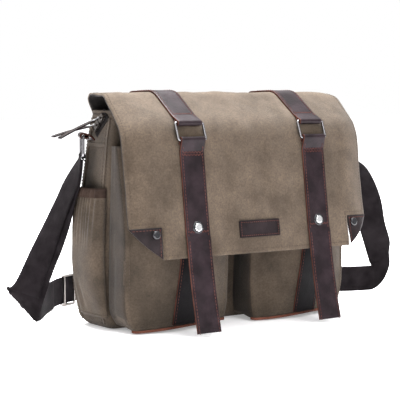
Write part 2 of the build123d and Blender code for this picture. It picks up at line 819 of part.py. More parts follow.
with BuildPart() as strap_adjuster:
    heading = Vector(44, 23, 0).normalized()
    length, height = ADJUSTER
    end_bar = 1.6
    face = Plane(
        origin=(*ADJUSTER_AT, LOW + LIFT), x_dir=heading, z_dir=heading.cross(Vector(0, 0, 1))
    )
    with Locations(face):
        with Locations((0, (height - end_bar) / 2, 0), (0, (end_bar - height) / 2, 0)):
            Box(length, end_bar, 2 * ADJUSTER_BAR + WEBBING_THICK + 0.8)
        side_bar = WEBBING_THICK / 2 + 0.4 + ADJUSTER_BAR / 2
        end = (length - ADJUSTER_BAR) / 2
        with Locations((-end, 0, side_bar), (end, 0, side_bar), (0, 0, -side_bar)):
            Box(ADJUSTER_BAR, height, ADJUSTER_BAR)
save(strap_adjuster.part, "strap_adjuster")
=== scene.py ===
"""Looks of the canvas messenger bag: cloth, leather, webbing, hardware, light and camera.

Lengths are written in millimetres, in the CAD frame, and turned into metres where a mesh is made.
The hinges, camera, lights and floor are in metres.
"""
import bmesh
import bpy
from math import cos, exp, pi, radians, sin, sqrt
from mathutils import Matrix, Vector, noise


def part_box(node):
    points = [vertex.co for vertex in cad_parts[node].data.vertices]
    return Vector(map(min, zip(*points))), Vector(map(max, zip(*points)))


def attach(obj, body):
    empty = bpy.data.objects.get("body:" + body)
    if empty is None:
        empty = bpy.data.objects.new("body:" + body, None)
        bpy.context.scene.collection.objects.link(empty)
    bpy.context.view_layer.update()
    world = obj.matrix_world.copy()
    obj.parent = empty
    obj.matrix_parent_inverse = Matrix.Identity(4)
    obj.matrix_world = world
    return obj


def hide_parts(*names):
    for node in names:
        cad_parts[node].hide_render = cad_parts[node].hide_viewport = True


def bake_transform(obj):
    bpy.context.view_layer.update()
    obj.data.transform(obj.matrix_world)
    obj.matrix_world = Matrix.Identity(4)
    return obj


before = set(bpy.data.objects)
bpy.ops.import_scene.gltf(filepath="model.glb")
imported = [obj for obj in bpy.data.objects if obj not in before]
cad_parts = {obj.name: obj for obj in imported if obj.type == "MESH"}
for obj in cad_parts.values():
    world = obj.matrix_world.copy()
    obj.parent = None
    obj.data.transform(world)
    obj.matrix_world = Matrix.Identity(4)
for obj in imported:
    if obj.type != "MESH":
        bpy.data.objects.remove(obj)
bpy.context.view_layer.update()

MM = 0.001
RIGHT = Vector((1, 0, 0))
UP = Vector((0, 0, 1))
SIDES = ((-1, "left"), (1, "right"))

# ------------------------------------------------------------------ sizes shared with the CAD model
# The bag body: height, half width, front and back at each level
BODY = [
    (0, 172, -20, 48),
    (14, 179, -24, 57),
    (90, 184, -26, 66),
    (170, 181, -30, 50),
    (240, 177, -34, 38),
    (278, 172, -33, 30),
]
BODY_CORNER = 12
LONG_WALL_POINTS = 60
SHORT_WALL_POINTS = 14
SEAM_HEIGHT = 236

# Front pockets: height, front at the side edges, front at the middle
POCKET = [(5, -60, -72), (90, -66, -93), (140, -64, -94), (235, -48, -64)]
POCKET_OUTER = 178
POCKET_INNER = 17
POCKET_CORNER = 8
POCKET_WALL_POINTS = 9

# Side pockets: height and half width
SIDE_POCKET = [(16, 184.5), (60, 198), (100, 202), (150, 197.5), (181, 192)]
SIDE_POCKET_Y = (-25, 42)
MOUTH = SIDE_POCKET[-1][0]
TRIM_DEPTH = 12

# The flap's outer face in the YZ plane, then its half width where its cloth passes each y
FLAP_POINTS = [(37.4, 252), (28.6, 301.5), (-30, 303), (-87, 262), (-109, 97)]
FLAP_RADII = [12, 30, 45]
FLAP_PLAN = [(60, 172), (31, 176), (-40, 189), (-130, 192)]
FLAP_CLOTH = 1.6
NOTCH_X = 150
NOTCH_Z = 137
NOTCH_HALF = 191.6
FLAP_COLUMNS = 108
FRONT_LEG_Y = -60
LABEL_Z = 128
# Half width, bottom and top of the label's stitching
LABEL_STITCHES = (29.5, 119.6, 136.4)

# Leather straps and their rings
STRAP_X = 97.5
STRAP_WIDTH = 36
LEATHER = 2.3
SEAM_GAP = 0.15
STITCH_LINE = 14.9
# Length, gap and width of the straps' stitches
STRAP_THREAD = (3.0, 1.2, 0.8)
FLAP_RING_HEIGHT = 26
RING_WIRE = 3.2
RING_SHARE = 0.72
RING_STANDOFF = 3.2
BAR = (FLAP_RING_HEIGHT - RING_WIRE) / 2
STRAP_LOOP = 3.1
LOOP_POINTS = 16
STUD_Z = 134
CROSS_STITCH_Z = 122.5
TAIL_HINGE = (-108.1, 120.5)
TAIL_LEAN = 11.3
TAIL_LENGTH = 118

# Zips
ZIP_Y = -1.5
ZIP_Z = 280.1
CLOSURE_Z = 279.7
ZIP_RUN_CENTRE = (174.4, 2, 260)
ZIP_RUN_TILT = 7.5
PULL_DROP = {"upper": 23.3, "lower": 12.9}

# Side rings and shoulder strap
TAB_AXIS = (20, 240)
RING_TOP = 247
SIDE_RING_X = 190
RING_BOTTOM = 221.6
RING_TURN = 64
WEBBING = 38
LOW = WEBBING / 2 + 0.2
SECOND_LAYER_POINTS = 78

# The shoulder strap's course: centre, bearing and rise of its width in degrees, and its width
STATIONS = [
    ((-190.5, 20, RING_BOTTOM - 5), 64, 0, WEBBING),
    ((-196.5, 31, 188), 88, 0, WEBBING),
    ((-202, 38, 162), 92, 0, WEBBING),
    ((-208, 46, 132), 100, 0, WEBBING),
    ((-216, 58, 100), 116, -5, WEBBING),
    ((-228, 74, 60), 136, -12, 42),
    ((-237.3, 94.3, 21.5), 177, 45, 57),
    ((-206, 108, LOW), 240, 90, WEBBING),
    ((-172, 152, LOW), 240, 90, WEBBING),
    ((-132, 189, LOW + 2.5), 240, 90, WEBBING),
    ((-88, 212, LOW + 2.5), 240, 90, WEBBING),
    ((-20, 226, LOW), 240, 90, WEBBING),
    ((60, 222, LOW), 240, 90, WEBBING),
    ((140, 196, LOW), 240, 90, WEBBING),
    ((210, 148, LOW), 240, 90, WEBBING),
    ((262, 100, LOW), 240, 90, WEBBING),
    ((306, 74, LOW), 240, 90, WEBBING),
    ((342.8, 63.7, LOW), 128, 90, WEBBING),
    ((352.7, 60.7, 27), 155, 55, 34),
    ((357, 58.7, 40), 152, 8, 32),
    ((355.5, 58, 51.5), 143, -26, 34),
    ((347, 54, 75), 142, -8, 40),
    ((330, 48, 107), 144, 0, 41),
    ((317, 42, 141), 140, 0, 40),
    ((294, 34, 175), 132, 0, WEBBING),
    ((266, 27, 198), 124, 0, WEBBING),
    ((225, 23, 212), 116, 0, WEBBING),
    ((190.5, 20, RING_BOTTOM - 3.4), 116, 0, WEBBING),
]

# Strength of the surroundings as a light, at eye level and overhead
WALL_GLOW = 0.42
CEILING_GLOW = 1.9


# ------------------------------------------------------------------ small maths
def smooth(low, high, value):
    """0 below low, 1 above high, and a smooth step between them."""
    share = min(1, max(0, (value - low) / (high - low)))
    return share * share * (3 - 2 * share)


def spaced(low, high, count):
    """Even steps from low to high: one more number than the count."""
    return [low + (high - low) * index / count for index in range(count + 1)]


def between(table, key):
    """Read a table of (key, values...) with a smooth curve through its rows."""
    index = 0
    while index < len(table) - 2 and key > table[index + 1][0]:
        index += 1
    low, high = table[index], table[index + 1]
    before, after = table[max(index - 1, 0)], table[min(index + 2, len(table) - 1)]
    span = high[0] - low[0]
    s = min(1, max(0, (key - low[0]) / span))
    values = []
    for a, b, c, d in zip(before[1:], low[1:], high[1:], after[1:]):
        slope_in = (c - a) / (high[0] - before[0]) * span
        slope_out = (d - b) / (after[0] - low[0]) * span
        values.append(
            b * (2 * s**3 - 3 * s**2 + 1) + slope_in * (s**3 - 2 * s**2 + s)
            + c * (3 * s**2 - 2 * s**3) + slope_out * (s**3 - s**2)
        )
    return values


def straight(table, key):
    """Read a table of (key, value), with falling keys, straight between its rows."""
    for low, high in zip(table, table[1:]):
        if key > high[0]:
            break
    return low[1] + (high[1] - low[1]) * (key - low[0]) / (high[0] - low[0])


def wave(x, y, z, scale, seed=0):
    """Smooth seeded noise from -1 to 1, with features about scale millimetres across."""
    return noise.noise(Vector((x / scale + 7.3 * seed, y / scale - 3.1 * seed, z / scale + 1.7 * seed)))


def heading(points, index):
    """The step along a path at one of its points."""
    return points[min(index + 1, len(points) - 1)] - points[max(index - 1, 0)]


def resampled(path, step):
    """The same path with evenly spaced points, about step apart."""
    lengths = [0]
    for start, end in zip(path, path[1:]):
        lengths.append(lengths[-1] + (end - start).length)
    result = []
    index = 0
    for target in spaced(0, lengths[-1], max(2, round(lengths[-1] / step))):
        while index < len(path) - 2 and lengths[index + 1] < target:
            index += 1
        span = lengths[index + 1] - lengths[index]
        share = (target - lengths[index]) / span if span else 0
        result.append(path[index].lerp(path[index + 1], min(1, share)))
    return result


def filleted(points, radii, step=2.5):
    """Points every few millimetres along a polyline whose inner corners are rounded."""
    points = [Vector(point) for point in points]
    path = [points[0]]
    for before, corner, after, radius in zip(points, points[1:], points[2:], radii):
        back = (before - corner).normalized()
        ahead = (after - corner).normalized()
        half = back.angle(ahead) / 2
        start = corner + back * (radius * cos(half) / sin(half))
        centre = corner + (back + ahead).normalized() * (radius / sin(half))
        spoke = start - centre
        turn = (pi - 2 * half) * (1 if back.cross(-ahead) > 0 else -1)
        for angle in spaced(0, turn, max(4, int(radius * abs(turn) / step))):
            path.append(centre + Vector((spoke.x * cos(angle) - spoke.y * sin(angle),
                                         spoke.x * sin(angle) + spoke.y * cos(angle))))
    path.append(points[-1])
    return resampled(path, step)


def path_normals(path):
    """The left-hand normal of a 2-D path at each point: outwards for the flap's path."""
    normals = []
    for index in range(len(path)):
        along = heading(path, index).normalized()
        normals.append(Vector((along.y, -along.x)))
    return normals


# ------------------------------------------------------------------ mesh helpers
def mesh_piece(name, points, faces, materials, uvs=None, crease=False):
    """A smooth-shaded mesh object from points in millimetres."""
    mesh = bpy.data.meshes.new(name)
    mesh.from_pydata([Vector(point) * MM for point in points], [], faces)
    piece = bpy.data.objects.new(name, mesh)
    bpy.context.scene.collection.objects.link(piece)
    for material in materials if isinstance(materials, list) else [materials]:
        mesh.materials.append(material)
    if uvs:
        layer = mesh.uv_layers.new(name="cloth")
        for loop in mesh.loops:
            layer.data[loop.index].uv = uvs[loop.vertex_index]
    mesh.polygons.foreach_set("use_smooth", [not crease] * len(mesh.polygons))
    mesh.update()
    return piece


def placed(piece, body, slot, *nodes):
    """Let a piece ride a body, in place of CAD nodes; slot is not used."""
    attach(piece, body)
    if nodes:
        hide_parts(*nodes)
    return piece


def grid_faces(rows, columns, closed=False, keep=None):
    """Quads of a grid stored row by row; closed joins the last column to the first."""
    faces = []
    for row in range(rows - 1):
        for column in range(columns if closed else columns - 1):
            if keep and not keep(row, column):
                continue
            after = (column + 1) % columns
            faces.append((row * columns + column, row * columns + after,
                          (row + 1) * columns + after, (row + 1) * columns + column))
    return faces


def cloth_uvs(rows):
    """UVs in metres along and across a grid of cloth."""
    uvs = []
    climb = 0
    for index, row in enumerate(rows):
        if index:
            climb += (row[0] - rows[index - 1][0]).length
        across = 0
        for place, point in enumerate(row):
            if place:
                across += (point - row[place - 1]).length
            uvs.append((across * MM, climb * MM))
    return uvs


def thicken(piece, thickness, offset=-1):
    """Give a sheet its thickness, into the side away from its normals, and bake it."""
    modifier = piece.modifiers.new("thickness", "SOLIDIFY")
    modifier.thickness = thickness * MM
    modifier.offset = offset
    modifier.use_even_offset = True
    modifier.thickness_clamp = 1.5
    bpy.context.view_layer.update()
    graph = bpy.context.evaluated_depsgraph_get()
    baked = bpy.data.meshes.new_from_object(piece.evaluated_get(graph))
    piece.modifiers.clear()
    piece.data = baked
    return piece


def sheet_from(name, rows, material, thickness, closed=False, keep=None, flip=False, uvs=None):
    """A cloth piece from rows of points; a thickness of 0 leaves it a single layer."""
    points = [point for row in rows for point in row]
    faces = grid_faces(len(rows), len(rows[0]), closed, keep)
    if flip:
        faces = [face[::-1] for face in faces]
    piece = mesh_piece(name, points, faces, material, uvs or cloth_uvs(rows))
    return thicken(piece, thickness) if thickness else piece


def recalculate_normals(piece):
    """Turn every face of a closed piece outwards."""
    work = bmesh.new()
    work.from_mesh(piece.data)
    bmesh.ops.recalc_face_normals(work, faces=work.faces)
    work.to_mesh(piece.data)
    work.free()


def band_outline(corner, flats=8):
    """Points round a band's cross-section: side, face, two offsets, and whether in a rounded corner."""
    outline = []
    for side, face, start in ((1, 1, 90), (1, -1, 0), (-1, -1, -90), (-1, 1, -180)):
        for step in range(4):
            angle = radians(start - 30 * step)
            outline.append((side, face, corner * cos(angle), corner * sin(angle), True))
        if side != face:
            outline += [(side * (1 - 2 * k / flats), face, 0, face * corner, False) for k in range(1, flats)]
    return outline


def band(name, centres, widths, outs, thickness, material, edge_material=None):
    """A flat strip with rounded edges along centres; widths are half-width vectors, outs unit normals."""
    half = thickness / 2
    corner = min(0.5, half * 0.95)
    outline = band_outline(corner)
    columns = len(outline)
    points, uvs = [], []
    length = 0
    for index, (centre, width, out) in enumerate(zip(centres, widths, outs)):
        if index:
            length += (centre - centres[index - 1]).length
        reach = width.length
        unit = width / reach
        for side, face, aside, raised, _ in outline:
            across = side * (reach - corner) + aside
            points.append(centre + unit * across + out * (face * (half - corner) + raised))
            uvs.append((length * MM, across * MM))
    faces = grid_faces(len(centres), columns, closed=True)
    faces.append(tuple(range(columns - 1, -1, -1)))
    last = (len(centres) - 1) * columns
    faces.append(tuple(range(last, last + columns)))
    piece = mesh_piece(name, points, faces, [material, edge_material or material], uvs)
    for polygon in piece.data.polygons if edge_material else []:
        used = [outline[vertex % columns] for vertex in polygon.vertices]
        at_end = polygon.index >= len(faces) - 2
        at_side = all(point[4] for point in used) and len({point[0] for point in used}) == 1
        polygon.material_index = int(at_end or at_side)
    recalculate_normals(piece)
    return piece


def path_band(name, points, normals, across, half_width, thickness, material, edge=None):
    """A band along 3-D points with a fixed half width; across is its width's direction, or None."""
    widths, outs = [], []
    for index, normal in enumerate(normals):
        along = heading(points, index).normalized()
        width = along.cross(normal).normalized() if across is None else across
        out = width.cross(along).normalized()
        widths.append(width * half_width)
        outs.append(out if out.dot(normal) > 0 else -out)
    return band(name, points, widths, outs, thickness, material, edge)


def join(name, pieces):
    """Several mesh pieces as one."""
    bpy.ops.object.select_all(action="DESELECT")
    for piece in pieces:
        piece.select_set(True)
    bpy.context.view_layer.objects.active = pieces[0]
    bpy.ops.object.join()
    pieces[0].name = name
    return pieces[0]


def stitch_shape():
    """Points and faces of a unit stitch: a rounded thread 1 long, 1 wide and 1 high."""
    points = []
    for along, girth in ((-0.5, 0.35), (-0.38, 0.8), (0, 1), (0.38, 0.8), (0.5, 0.35)):
        for step in range(6):
            angle = step * pi / 3
            points.append((along, 0.5 * girth * cos(angle), 0.5 * girth * sin(angle)))
    faces = grid_faces(5, 6, closed=True)
    faces.append((5, 4, 3, 2, 1, 0))
    faces.append((24, 25, 26, 27, 28, 29))
    return points, faces


def stitches(name, runs, material, length=3.0, gap=1.3, width=0.75):
    """Threads laid along runs; each run is a list of (point, outward normal)."""
    shape_points, shape_faces = stitch_shape()
    points, faces = [], []
    for run in runs:
        travelled = 0
        place = 0
        for (start, normal), (end, _) in zip(run, run[1:]):
            along = end - start
            span = along.length
            if span < 1e-6:
                continue
            along.normalize()
            across = normal.cross(along).normalized()
            while place <= travelled + span:
                centre = start + along * (place - travelled) + normal * (width * 0.22)
                base = len(points)
                for px, py, pz in shape_points:
                    thread = across * (py * width) + normal * (pz * width)
                    points.append(centre + along * (px * length) + thread)
                faces += [tuple(base + index for index in face) for face in shape_faces]
                place += length + gap
            travelled += span
    return mesh_piece(name, points, faces, material)


def shifted(run, offset):
    """A stitch run moved sideways."""
    return [(point + offset, normal) for point, normal in run]


def edge_runs(run, reach=STITCH_LINE):
    """The two stitch runs along the edges of a strap whose middle line is given."""
    return [shifted(run, RIGHT * side * reach) for side in (-1, 1)]


def cross_stitches(run, place, half_width=14, count=6, size=4.2):
    """Runs for a row of X-shaped stitches across a strap, at one point of its middle line."""
    centre, normal = run[place]
    along = heading([point for point, _ in run], place % len(run)).normalized()
    runs = []
    for index in range(count):
        middle = centre + RIGHT * (half_width * (2 * (index + 0.5) / count - 1))
        for turn in (-1, 1):
            arm = (RIGHT * turn + along * 1.25).normalized() * (size / 2)
            runs.append([(middle - arm, normal), (middle + arm, normal)])
    return runs


# ------------------------------------------------------------------ materials
def new_material(name, color, roughness, metallic=0.0, specular=0.5):
    """A material whose colour, roughness and metal sit on the shader's own sockets."""
    material = bpy.data.materials.new(name)
    material.use_nodes = True
    shader = shader_of(material)
    shader.inputs["Base Color"].default_value = (*color, 1)
    shader.inputs["Roughness"].default_value = roughness
    shader.inputs["Metallic"].default_value = metallic
    shader.inputs["Specular IOR Level"].default_value = specular
    material.diffuse_color = (*color, 1)
    return material


def shader_of(material):
    """The surface shader of a material."""
    return material.node_tree.nodes["Principled BSDF"]


def node(material, kind, **settings):
    """A new shader node with its inputs or settings given by name."""
    made = material.node_tree.nodes.new(kind)
    for name, value in settings.items():
        if name in made.inputs:
            made.inputs[name].default_value = value
        else:
            setattr(made, name, value)
    return made


def link(material, source, output, target, entry):
    """Join one node's output to another's input."""
    material.node_tree.links.new(source.outputs[output], target.inputs[entry])


def texture(material, kind, coordinates="Object", **settings):
    """A texture node laid out by one set of coordinates."""
    made = node(material, kind, **settings)
    link(material, node(material, "ShaderNodeTexCoord"), coordinates, made, "Vector")
    return made


def ramp(material, source, low, high, low_at, high_at):
    """Colour between two tones, driven by a texture's strength."""
    made = node(material, "ShaderNodeValToRGB")
    for element, color, place in zip(made.color_ramp.elements, (low, high), (low_at, high_at)):
        element.position = place
        element.color = (*color, 1)
    link(material, source, "Fac", made, "Fac")
    return made


def mottle(material, dark, light, scale, contrast=(0.35, 0.68)):
    """Colour that wanders between two tones in soft patches. Returns the ramp node."""
    patches = texture(material, "ShaderNodeTexNoise", Scale=scale, Detail=6, Roughness=0.6)
    tones = ramp(material, patches, dark, light, *contrast)
    link(material, tones, "Color", shader_of(material), "Base Color")
    return tones


def add_bump(material, source, output, strength, distance, under=None):
    """A bump layer on the shader's normal; under is a bump node that it adds to."""
    bump = node(material, "ShaderNodeBump", Strength=strength, Distance=distance)
    link(material, source, output, bump, "Height")
    if under:
        link(material, under, "Normal", bump, "Normal")
    link(material, bump, "Normal", shader_of(material), "Normal")
    return bump


def vary_roughness(material, source, low, high):
    """Roughness that follows a texture between two values."""
    spread = node(material, "ShaderNodeMapRange")
    spread.inputs["To Min"].default_value = low
    spread.inputs["To Max"].default_value = high
    link(material, source, "Fac", spread, "Value")
    link(material, spread, "Result", shader_of(material), "Roughness")


def weave(material, threads):
    """Crossed threads along the cloth, and the fine uneven grain of washed yarn."""
    cross = node(material, "ShaderNodeMath", operation="MULTIPLY")
    for entry, direction in enumerate("XY"):
        yarn = texture(material, "ShaderNodeTexWave", "UV", Scale=threads, Distortion=1.2,
                       bands_direction=direction)
        link(material, yarn, "Fac", cross, entry)
    bump = add_bump(material, cross, "Value", 0.5, 0.0005)
    grain = texture(material, "ShaderNodeTexNoise", Scale=900, Detail=3)
    add_bump(material, grain, "Fac", 0.35, 0.0006, bump)


def canvas(name, dark, light, patch_scale=22):
    """Washed cotton canvas: faded patches, pale nubs of yarn and a plain weave."""
    material = new_material(name, light, 0.92, specular=0.15)
    tones = mottle(material, dark, light, patch_scale)
    shader = shader_of(material)
    shader.inputs["Sheen Weight"].default_value = 0.06
    shader.inputs["Sheen Roughness"].default_value = 0.6
    yarn = texture(material, "ShaderNodeTexNoise", Scale=420, Detail=4, Roughness=0.75)
    nubs = ramp(material, yarn, (0.72, 0.72, 0.72), (1.35, 1.33, 1.3), 0.35, 0.75)
    blend = node(material, "ShaderNodeMix", data_type="RGBA", blend_type="MULTIPLY")
    whole, first, second, mixed = 0, 6, 7, 2
    blend.inputs[whole].default_value = 1.0
    link(material, tones, "Color", blend, first)
    link(material, nubs, "Color", blend, second)
    link(material, blend, mixed, shader, "Base Color")
    weave(material, 330)
    return material


def leather(name, dark, light, roughness=0.5, grain=420):
    """Waxed leather: slow tone changes, scuffs and a fine pebbled grain."""
    material = new_material(name, light, roughness, specular=0.1)
    mottle(material, dark, light, 40, contrast=(0.38, 0.66))
    pebbles = texture(material, "ShaderNodeTexVoronoi", Scale=grain)
    bump = add_bump(material, pebbles, "Distance", 0.25, 0.0005)
    creases = texture(material, "ShaderNodeTexNoise", Scale=70, Detail=8, Roughness=0.65)
    add_bump(material, creases, "Fac", 0.3, 0.0015, bump)
    scuffs = texture(material, "ShaderNodeTexNoise", Scale=120, Detail=6)
    vary_roughness(material, scuffs, roughness - 0.12, roughness + 0.18)
    return material


def ribbed(name, dark, light, ribs, direction="Y"):
    """Woven tape or webbing with fine ribs that run along it."""
    material = new_material(name, light, 0.85, specular=0.05)
    mottle(material, dark, light, 60)
    rib = texture(material, "ShaderNodeTexWave", "UV", Scale=ribs, Distortion=0.3, bands_direction=direction)
    bump = add_bump(material, rib, "Fac", 0.6, 0.0006)
    grain = texture(material, "ShaderNodeTexNoise", Scale=1100, Detail=2)
    add_bump(material, grain, "Fac", 0.4, 0.0005, bump)
    return material


def metal(name, color, roughness, metallic=1.0):
    """Plated metal with faint brushing and handling marks."""
    material = new_material(name, color, roughness, metallic)
    marks = texture(material, "ShaderNodeTexNoise", Scale=260, Detail=5)
    vary_roughness(material, marks, max(0.03, roughness - 0.08), roughness + 0.12)
    add_bump(material, marks, "Fac", 0.08, 0.0003)
    return material


FLAP_CANVAS = canvas("flap_canvas", (0.041, 0.029, 0.019), (0.080, 0.059, 0.042))
BODY_CANVAS = canvas("body_canvas", (0.030, 0.022, 0.015), (0.060, 0.044, 0.031))
# Painted shade: a darker copy of the body canvas for the front pockets' walls that run back to the bag, where
# shade falls.
GUSSET_PAINTED_SHADE_CANVAS = canvas("gusset_painted_shade_canvas", (0.015, 0.011, 0.008), (0.030, 0.022, 0.016))
LINING_CLOTH = canvas("lining_cloth", (0.012, 0.010, 0.010), (0.024, 0.02, 0.019), 30)
STRAP_LEATHER = leather("strap_leather", (0.006, 0.0035, 0.0045), (0.017, 0.0105, 0.013), 0.34)
TAB_LEATHER = leather("tab_leather", (0.006, 0.004, 0.0045), (0.015, 0.010, 0.011), 0.36)
DARK_LEATHER = leather("dark_leather", (0.002, 0.0015, 0.002), (0.005, 0.004, 0.005), 0.5)
RAW_EDGE = leather("raw_edge", (0.030, 0.010, 0.007), (0.066, 0.024, 0.017), 0.75, 900)
PIPING = leather("piping_leather", (0.07, 0.025, 0.016), (0.15, 0.055, 0.036), 0.55)
WEBBING_CLOTH = ribbed("webbing", (0.004, 0.003, 0.0035), (0.011, 0.009, 0.010), 240)
TAPE_CLOTH = ribbed("zip_tape", (0.01, 0.009, 0.009), (0.022, 0.019, 0.018), 300)
ELASTIC = ribbed("elastic", (0.016, 0.010, 0.008), (0.042, 0.028, 0.022), 300, "X")
GUNMETAL = metal("ring_metal", (0.16, 0.155, 0.16), 0.2)
NICKEL = metal("snap_metal", (0.72, 0.72, 0.73), 0.22)
DARK_NICKEL = metal("zip_metal", (0.16, 0.145, 0.135), 0.3)
BLACK_GLOSS = metal("snap_black", (0.012, 0.012, 0.014), 0.16, 0.2)
BOARD = leather("board", (0.006, 0.006, 0.006), (0.012, 0.012, 0.012), 0.6)
DARK_THREAD = ribbed("dark_thread", (0.06, 0.022, 0.018), (0.11, 0.042, 0.034), 900)
BROWN_THREAD = ribbed("brown_thread", (0.035, 0.027, 0.021), (0.07, 0.054, 0.042), 900)


# ------------------------------------------------------------------ bag body
def body_outline(z, inset):
    """Points round the bag at one level, as many at every level: x, y and the outward normal."""
    half, front, back = between(BODY, z)
    half, front, back = half - inset, front + inset, back - inset
    corner = max(3, BODY_CORNER - inset)
    points = []

    def run(start, end, count, normal):
        """Points along one straight wall."""
        for index in range(count):
            points.append((*[a + (b - a) * index / count for a, b in zip(start, end)], *normal))

    def turn(x, y, first):
        """Points round one corner, from its first bearing in degrees."""
        for index in range(6):
            angle = radians(first + 15 * index)
            points.append((x + corner * cos(angle), y + corner * sin(angle), cos(angle), sin(angle)))

    left, right = -half + corner, half - corner
    low, high = front + corner, back - corner
    run((left, front), (right, front), LONG_WALL_POINTS, (0, -1))
    turn(right, low, -90)
    run((half, low), (half, high), SHORT_WALL_POINTS, (1, 0))
    turn(right, high, 0)
    run((right, back), (left, back), LONG_WALL_POINTS, (0, 1))
    turn(left, high, 90)
    run((-half, high), (-half, low), SHORT_WALL_POINTS, (-1, 0))
    turn(left, low, 180)
    return points


def body_give(x, y, z):
    """How far the body cloth stands out of its plain shape: sags, folds and puckers."""
    free = smooth(0, 30, z) * (1 - smooth(240, 270, z))
    give = free * (1.8 * wave(x, y, z * 0.6, 55, 1) + 0.9 * wave(x, y, z, 20, 2))
    if y > 20:
        give += free * 1.6 * wave(x * 0.5, y, z, 60, 3)
    return give


def body_rows(inset, low, high, step=6):
    """Closed rows of the body's cloth, tucked in to a rounded edge at its floor."""
    levels = [(low, 6), (low + 0.7, 3), (low + 2.6, 1), (low + 6, 0)]
    levels += [(z, 0) for z in spaced(low + 10, high, round((high - low - 10) / step))]
    rows = []
    for z, tuck in levels:
        row = []
        for x, y, nx, ny in body_outline(z, inset + tuck):
            give = body_give(x, y, z)
            row.append(Vector((x + nx * give, y + ny * give, z)))
        rows.append(row)
    return rows


def cloth_bag(name, rows, materials, closed=False, flip=False):
    """A single layer of cloth from rows of points, with a floor."""
    columns = len(rows[0])
    points = [point for row in rows for point in row]
    faces = grid_faces(len(rows), columns, closed)
    faces.append(tuple(range(columns - 1, -1, -1)))
    if flip:
        faces = [face[::-1] for face in faces]
    return mesh_piece(name, points, faces, materials, cloth_uvs(rows))


outer_cloth = cloth_bag("body_cloth", body_rows(0, 0.3, 277.6), BODY_CANVAS, closed=True)
placed(thicken(outer_cloth, 2), "bag", "body_canvas", "main_shell")
inner_cloth = cloth_bag("body_lining", body_rows(2.4, 2.6, 277), LINING_CLOTH, closed=True)
placed(thicken(inner_cloth, 0.8), "bag", "lining_cloth", "lining")


def on_side_wall(side, y, z):
    """A point just outside the cloth of a side wall."""
    half = between(BODY, z)[0]
    return Vector((side * (half + body_give(side * half, y, z) + 0.3), y, z))


# Felled seams up the corners of the body and across its sides, and their stitching
seams, seam_runs = [], []
for side in (-1, 1):
    for place in ("front", "back"):
        points = []
        for z in spaced(8, 270, 39):
            _, front, back = between(BODY, z)
            points.append(on_side_wall(side, front + 13 if place == "front" else back - 13, z))
        normals = [RIGHT * side] * len(points)
        seams.append(path_band(f"seam_{side}_{place}", points, normals, None, 2.6, 1.4, BODY_CANVAS))
        for shift in (-4.4, 4.4):
            seam_runs.append(shifted(zip(points, normals), Vector((-side * 0.2, shift, 0))))
    _, front, back = between(BODY, SEAM_HEIGHT)
    points = [on_side_wall(side, y, SEAM_HEIGHT) for y in spaced(front + 14, back - 14, 15)]
    normals = [RIGHT * side] * len(points)
    seams.append(path_band(f"seam_{side}_top", points, normals, None, 2.4, 1.4, BODY_CANVAS))
    seam_runs.append(shifted(zip(points, normals), Vector((-side * 0.2, 0, -4))))
placed(join("body_seams", seams), "bag", "body_canvas")
placed(stitches("body_seam_stitches", seam_runs, BROWN_THREAD), "bag", "body_canvas")


# ------------------------------------------------------------------ top rim and zipped closure
def rim_cloth():
    """The bound edge round the bag's mouth."""
    rows = []
    for reach, z in ((1.2, 275.5), (1.3, 278.4), (0.4, 279.6), (-2, 279.8), (-3.2, 279.3)):
        outline = body_outline(277.6, 0)
        rows.append([Vector((x + nx * reach, y + ny * reach, z)) for x, y, nx, ny in outline])
    return sheet_from("top_binding", rows, BODY_CANVAS, 0, closed=True)


def flat_cloth(name, half_length, ends, z, thickness, material):
    """A level panel of cloth between two signed distances from the zip."""
    near, far = sorted(ZIP_Y + end for end in ends)
    rows = [[Vector((x, y, z)) for x in spaced(-half_length, half_length, 60)] for y in spaced(near, far, 8)]
    return sheet_from(name, rows, material, thickness)


def teeth_run(name, start, end, across, out, pitch=2.6, reach=1.5):
    """Interlocked zip teeth along a line: small blocks from alternate sides."""
    direction = (end - start).normalized()
    block = [(a, b, c) for a in (-0.5, 0.5) for b in (-0.5, 0.5) for c in (0, 1)]
    quads = [(0, 1, 3, 2), (4, 6, 7, 5), (0, 4, 5, 1), (2, 3, 7, 6), (0, 2, 6, 4), (1, 5, 7, 3)]
    points, faces = [], []
    for number in range(int((end - start).length / pitch)):
        side = 1 if number % 2 else -1
        centre = start + direction * (pitch * (number + 0.5)) + across * (side * reach * 0.35)
        base = len(points)
        for a, b, c in block:
            points.append(centre + direction * (a * pitch * 0.62) + across * (b * reach * 1.5) + out * c)
        faces += [tuple(base + index for index in quad) for quad in quads]
    return mesh_piece(name, points, faces, DARK_NICKEL, crease=True)


placed(rim_cloth(), "bag", "body_canvas", "top_rim")
for side, place in ((-1, "front"), (1, "back")):
    moving = f"zip_panel_{place}"
    panel = flat_cloth(f"closure_{place}", 149.5, (side * 0.6, side * 25.4), CLOSURE_Z, 1.3, BODY_CANVAS)
    placed(panel, moving, "body_canvas", f"zip_panel_{place}")
    tape = flat_cloth(f"closure_tape_{place}", 149, (side * 0.5, side * 9), ZIP_Z, 0.35, TAPE_CLOTH)
    placed(tape, moving, "zip_tape")
    start = Vector((-148, ZIP_Y + side * 1.5, ZIP_Z))
    teeth = teeth_run(f"closure_teeth_{place}", start, start + RIGHT * 296, Vector((0, 1, 0)), UP * 1.1)
    placed(teeth, moving, "zip_metal", f"zip_teeth_{place}")


# ------------------------------------------------------------------ zip run down each side
def side_zip_axes(side):
    """Origin, across, along and out of the sloping face under the side zip."""
    x, y, z = ZIP_RUN_CENTRE
    tilt = radians(ZIP_RUN_TILT)
    out = Vector((side * cos(tilt), 0, sin(tilt)))
    climb = Vector((-side * sin(tilt), 0, cos(tilt)))
    along = (Vector((0, -30, 0)) + climb * 32).normalized()
    return Vector((side * x, y, z)), along.cross(out), along, out


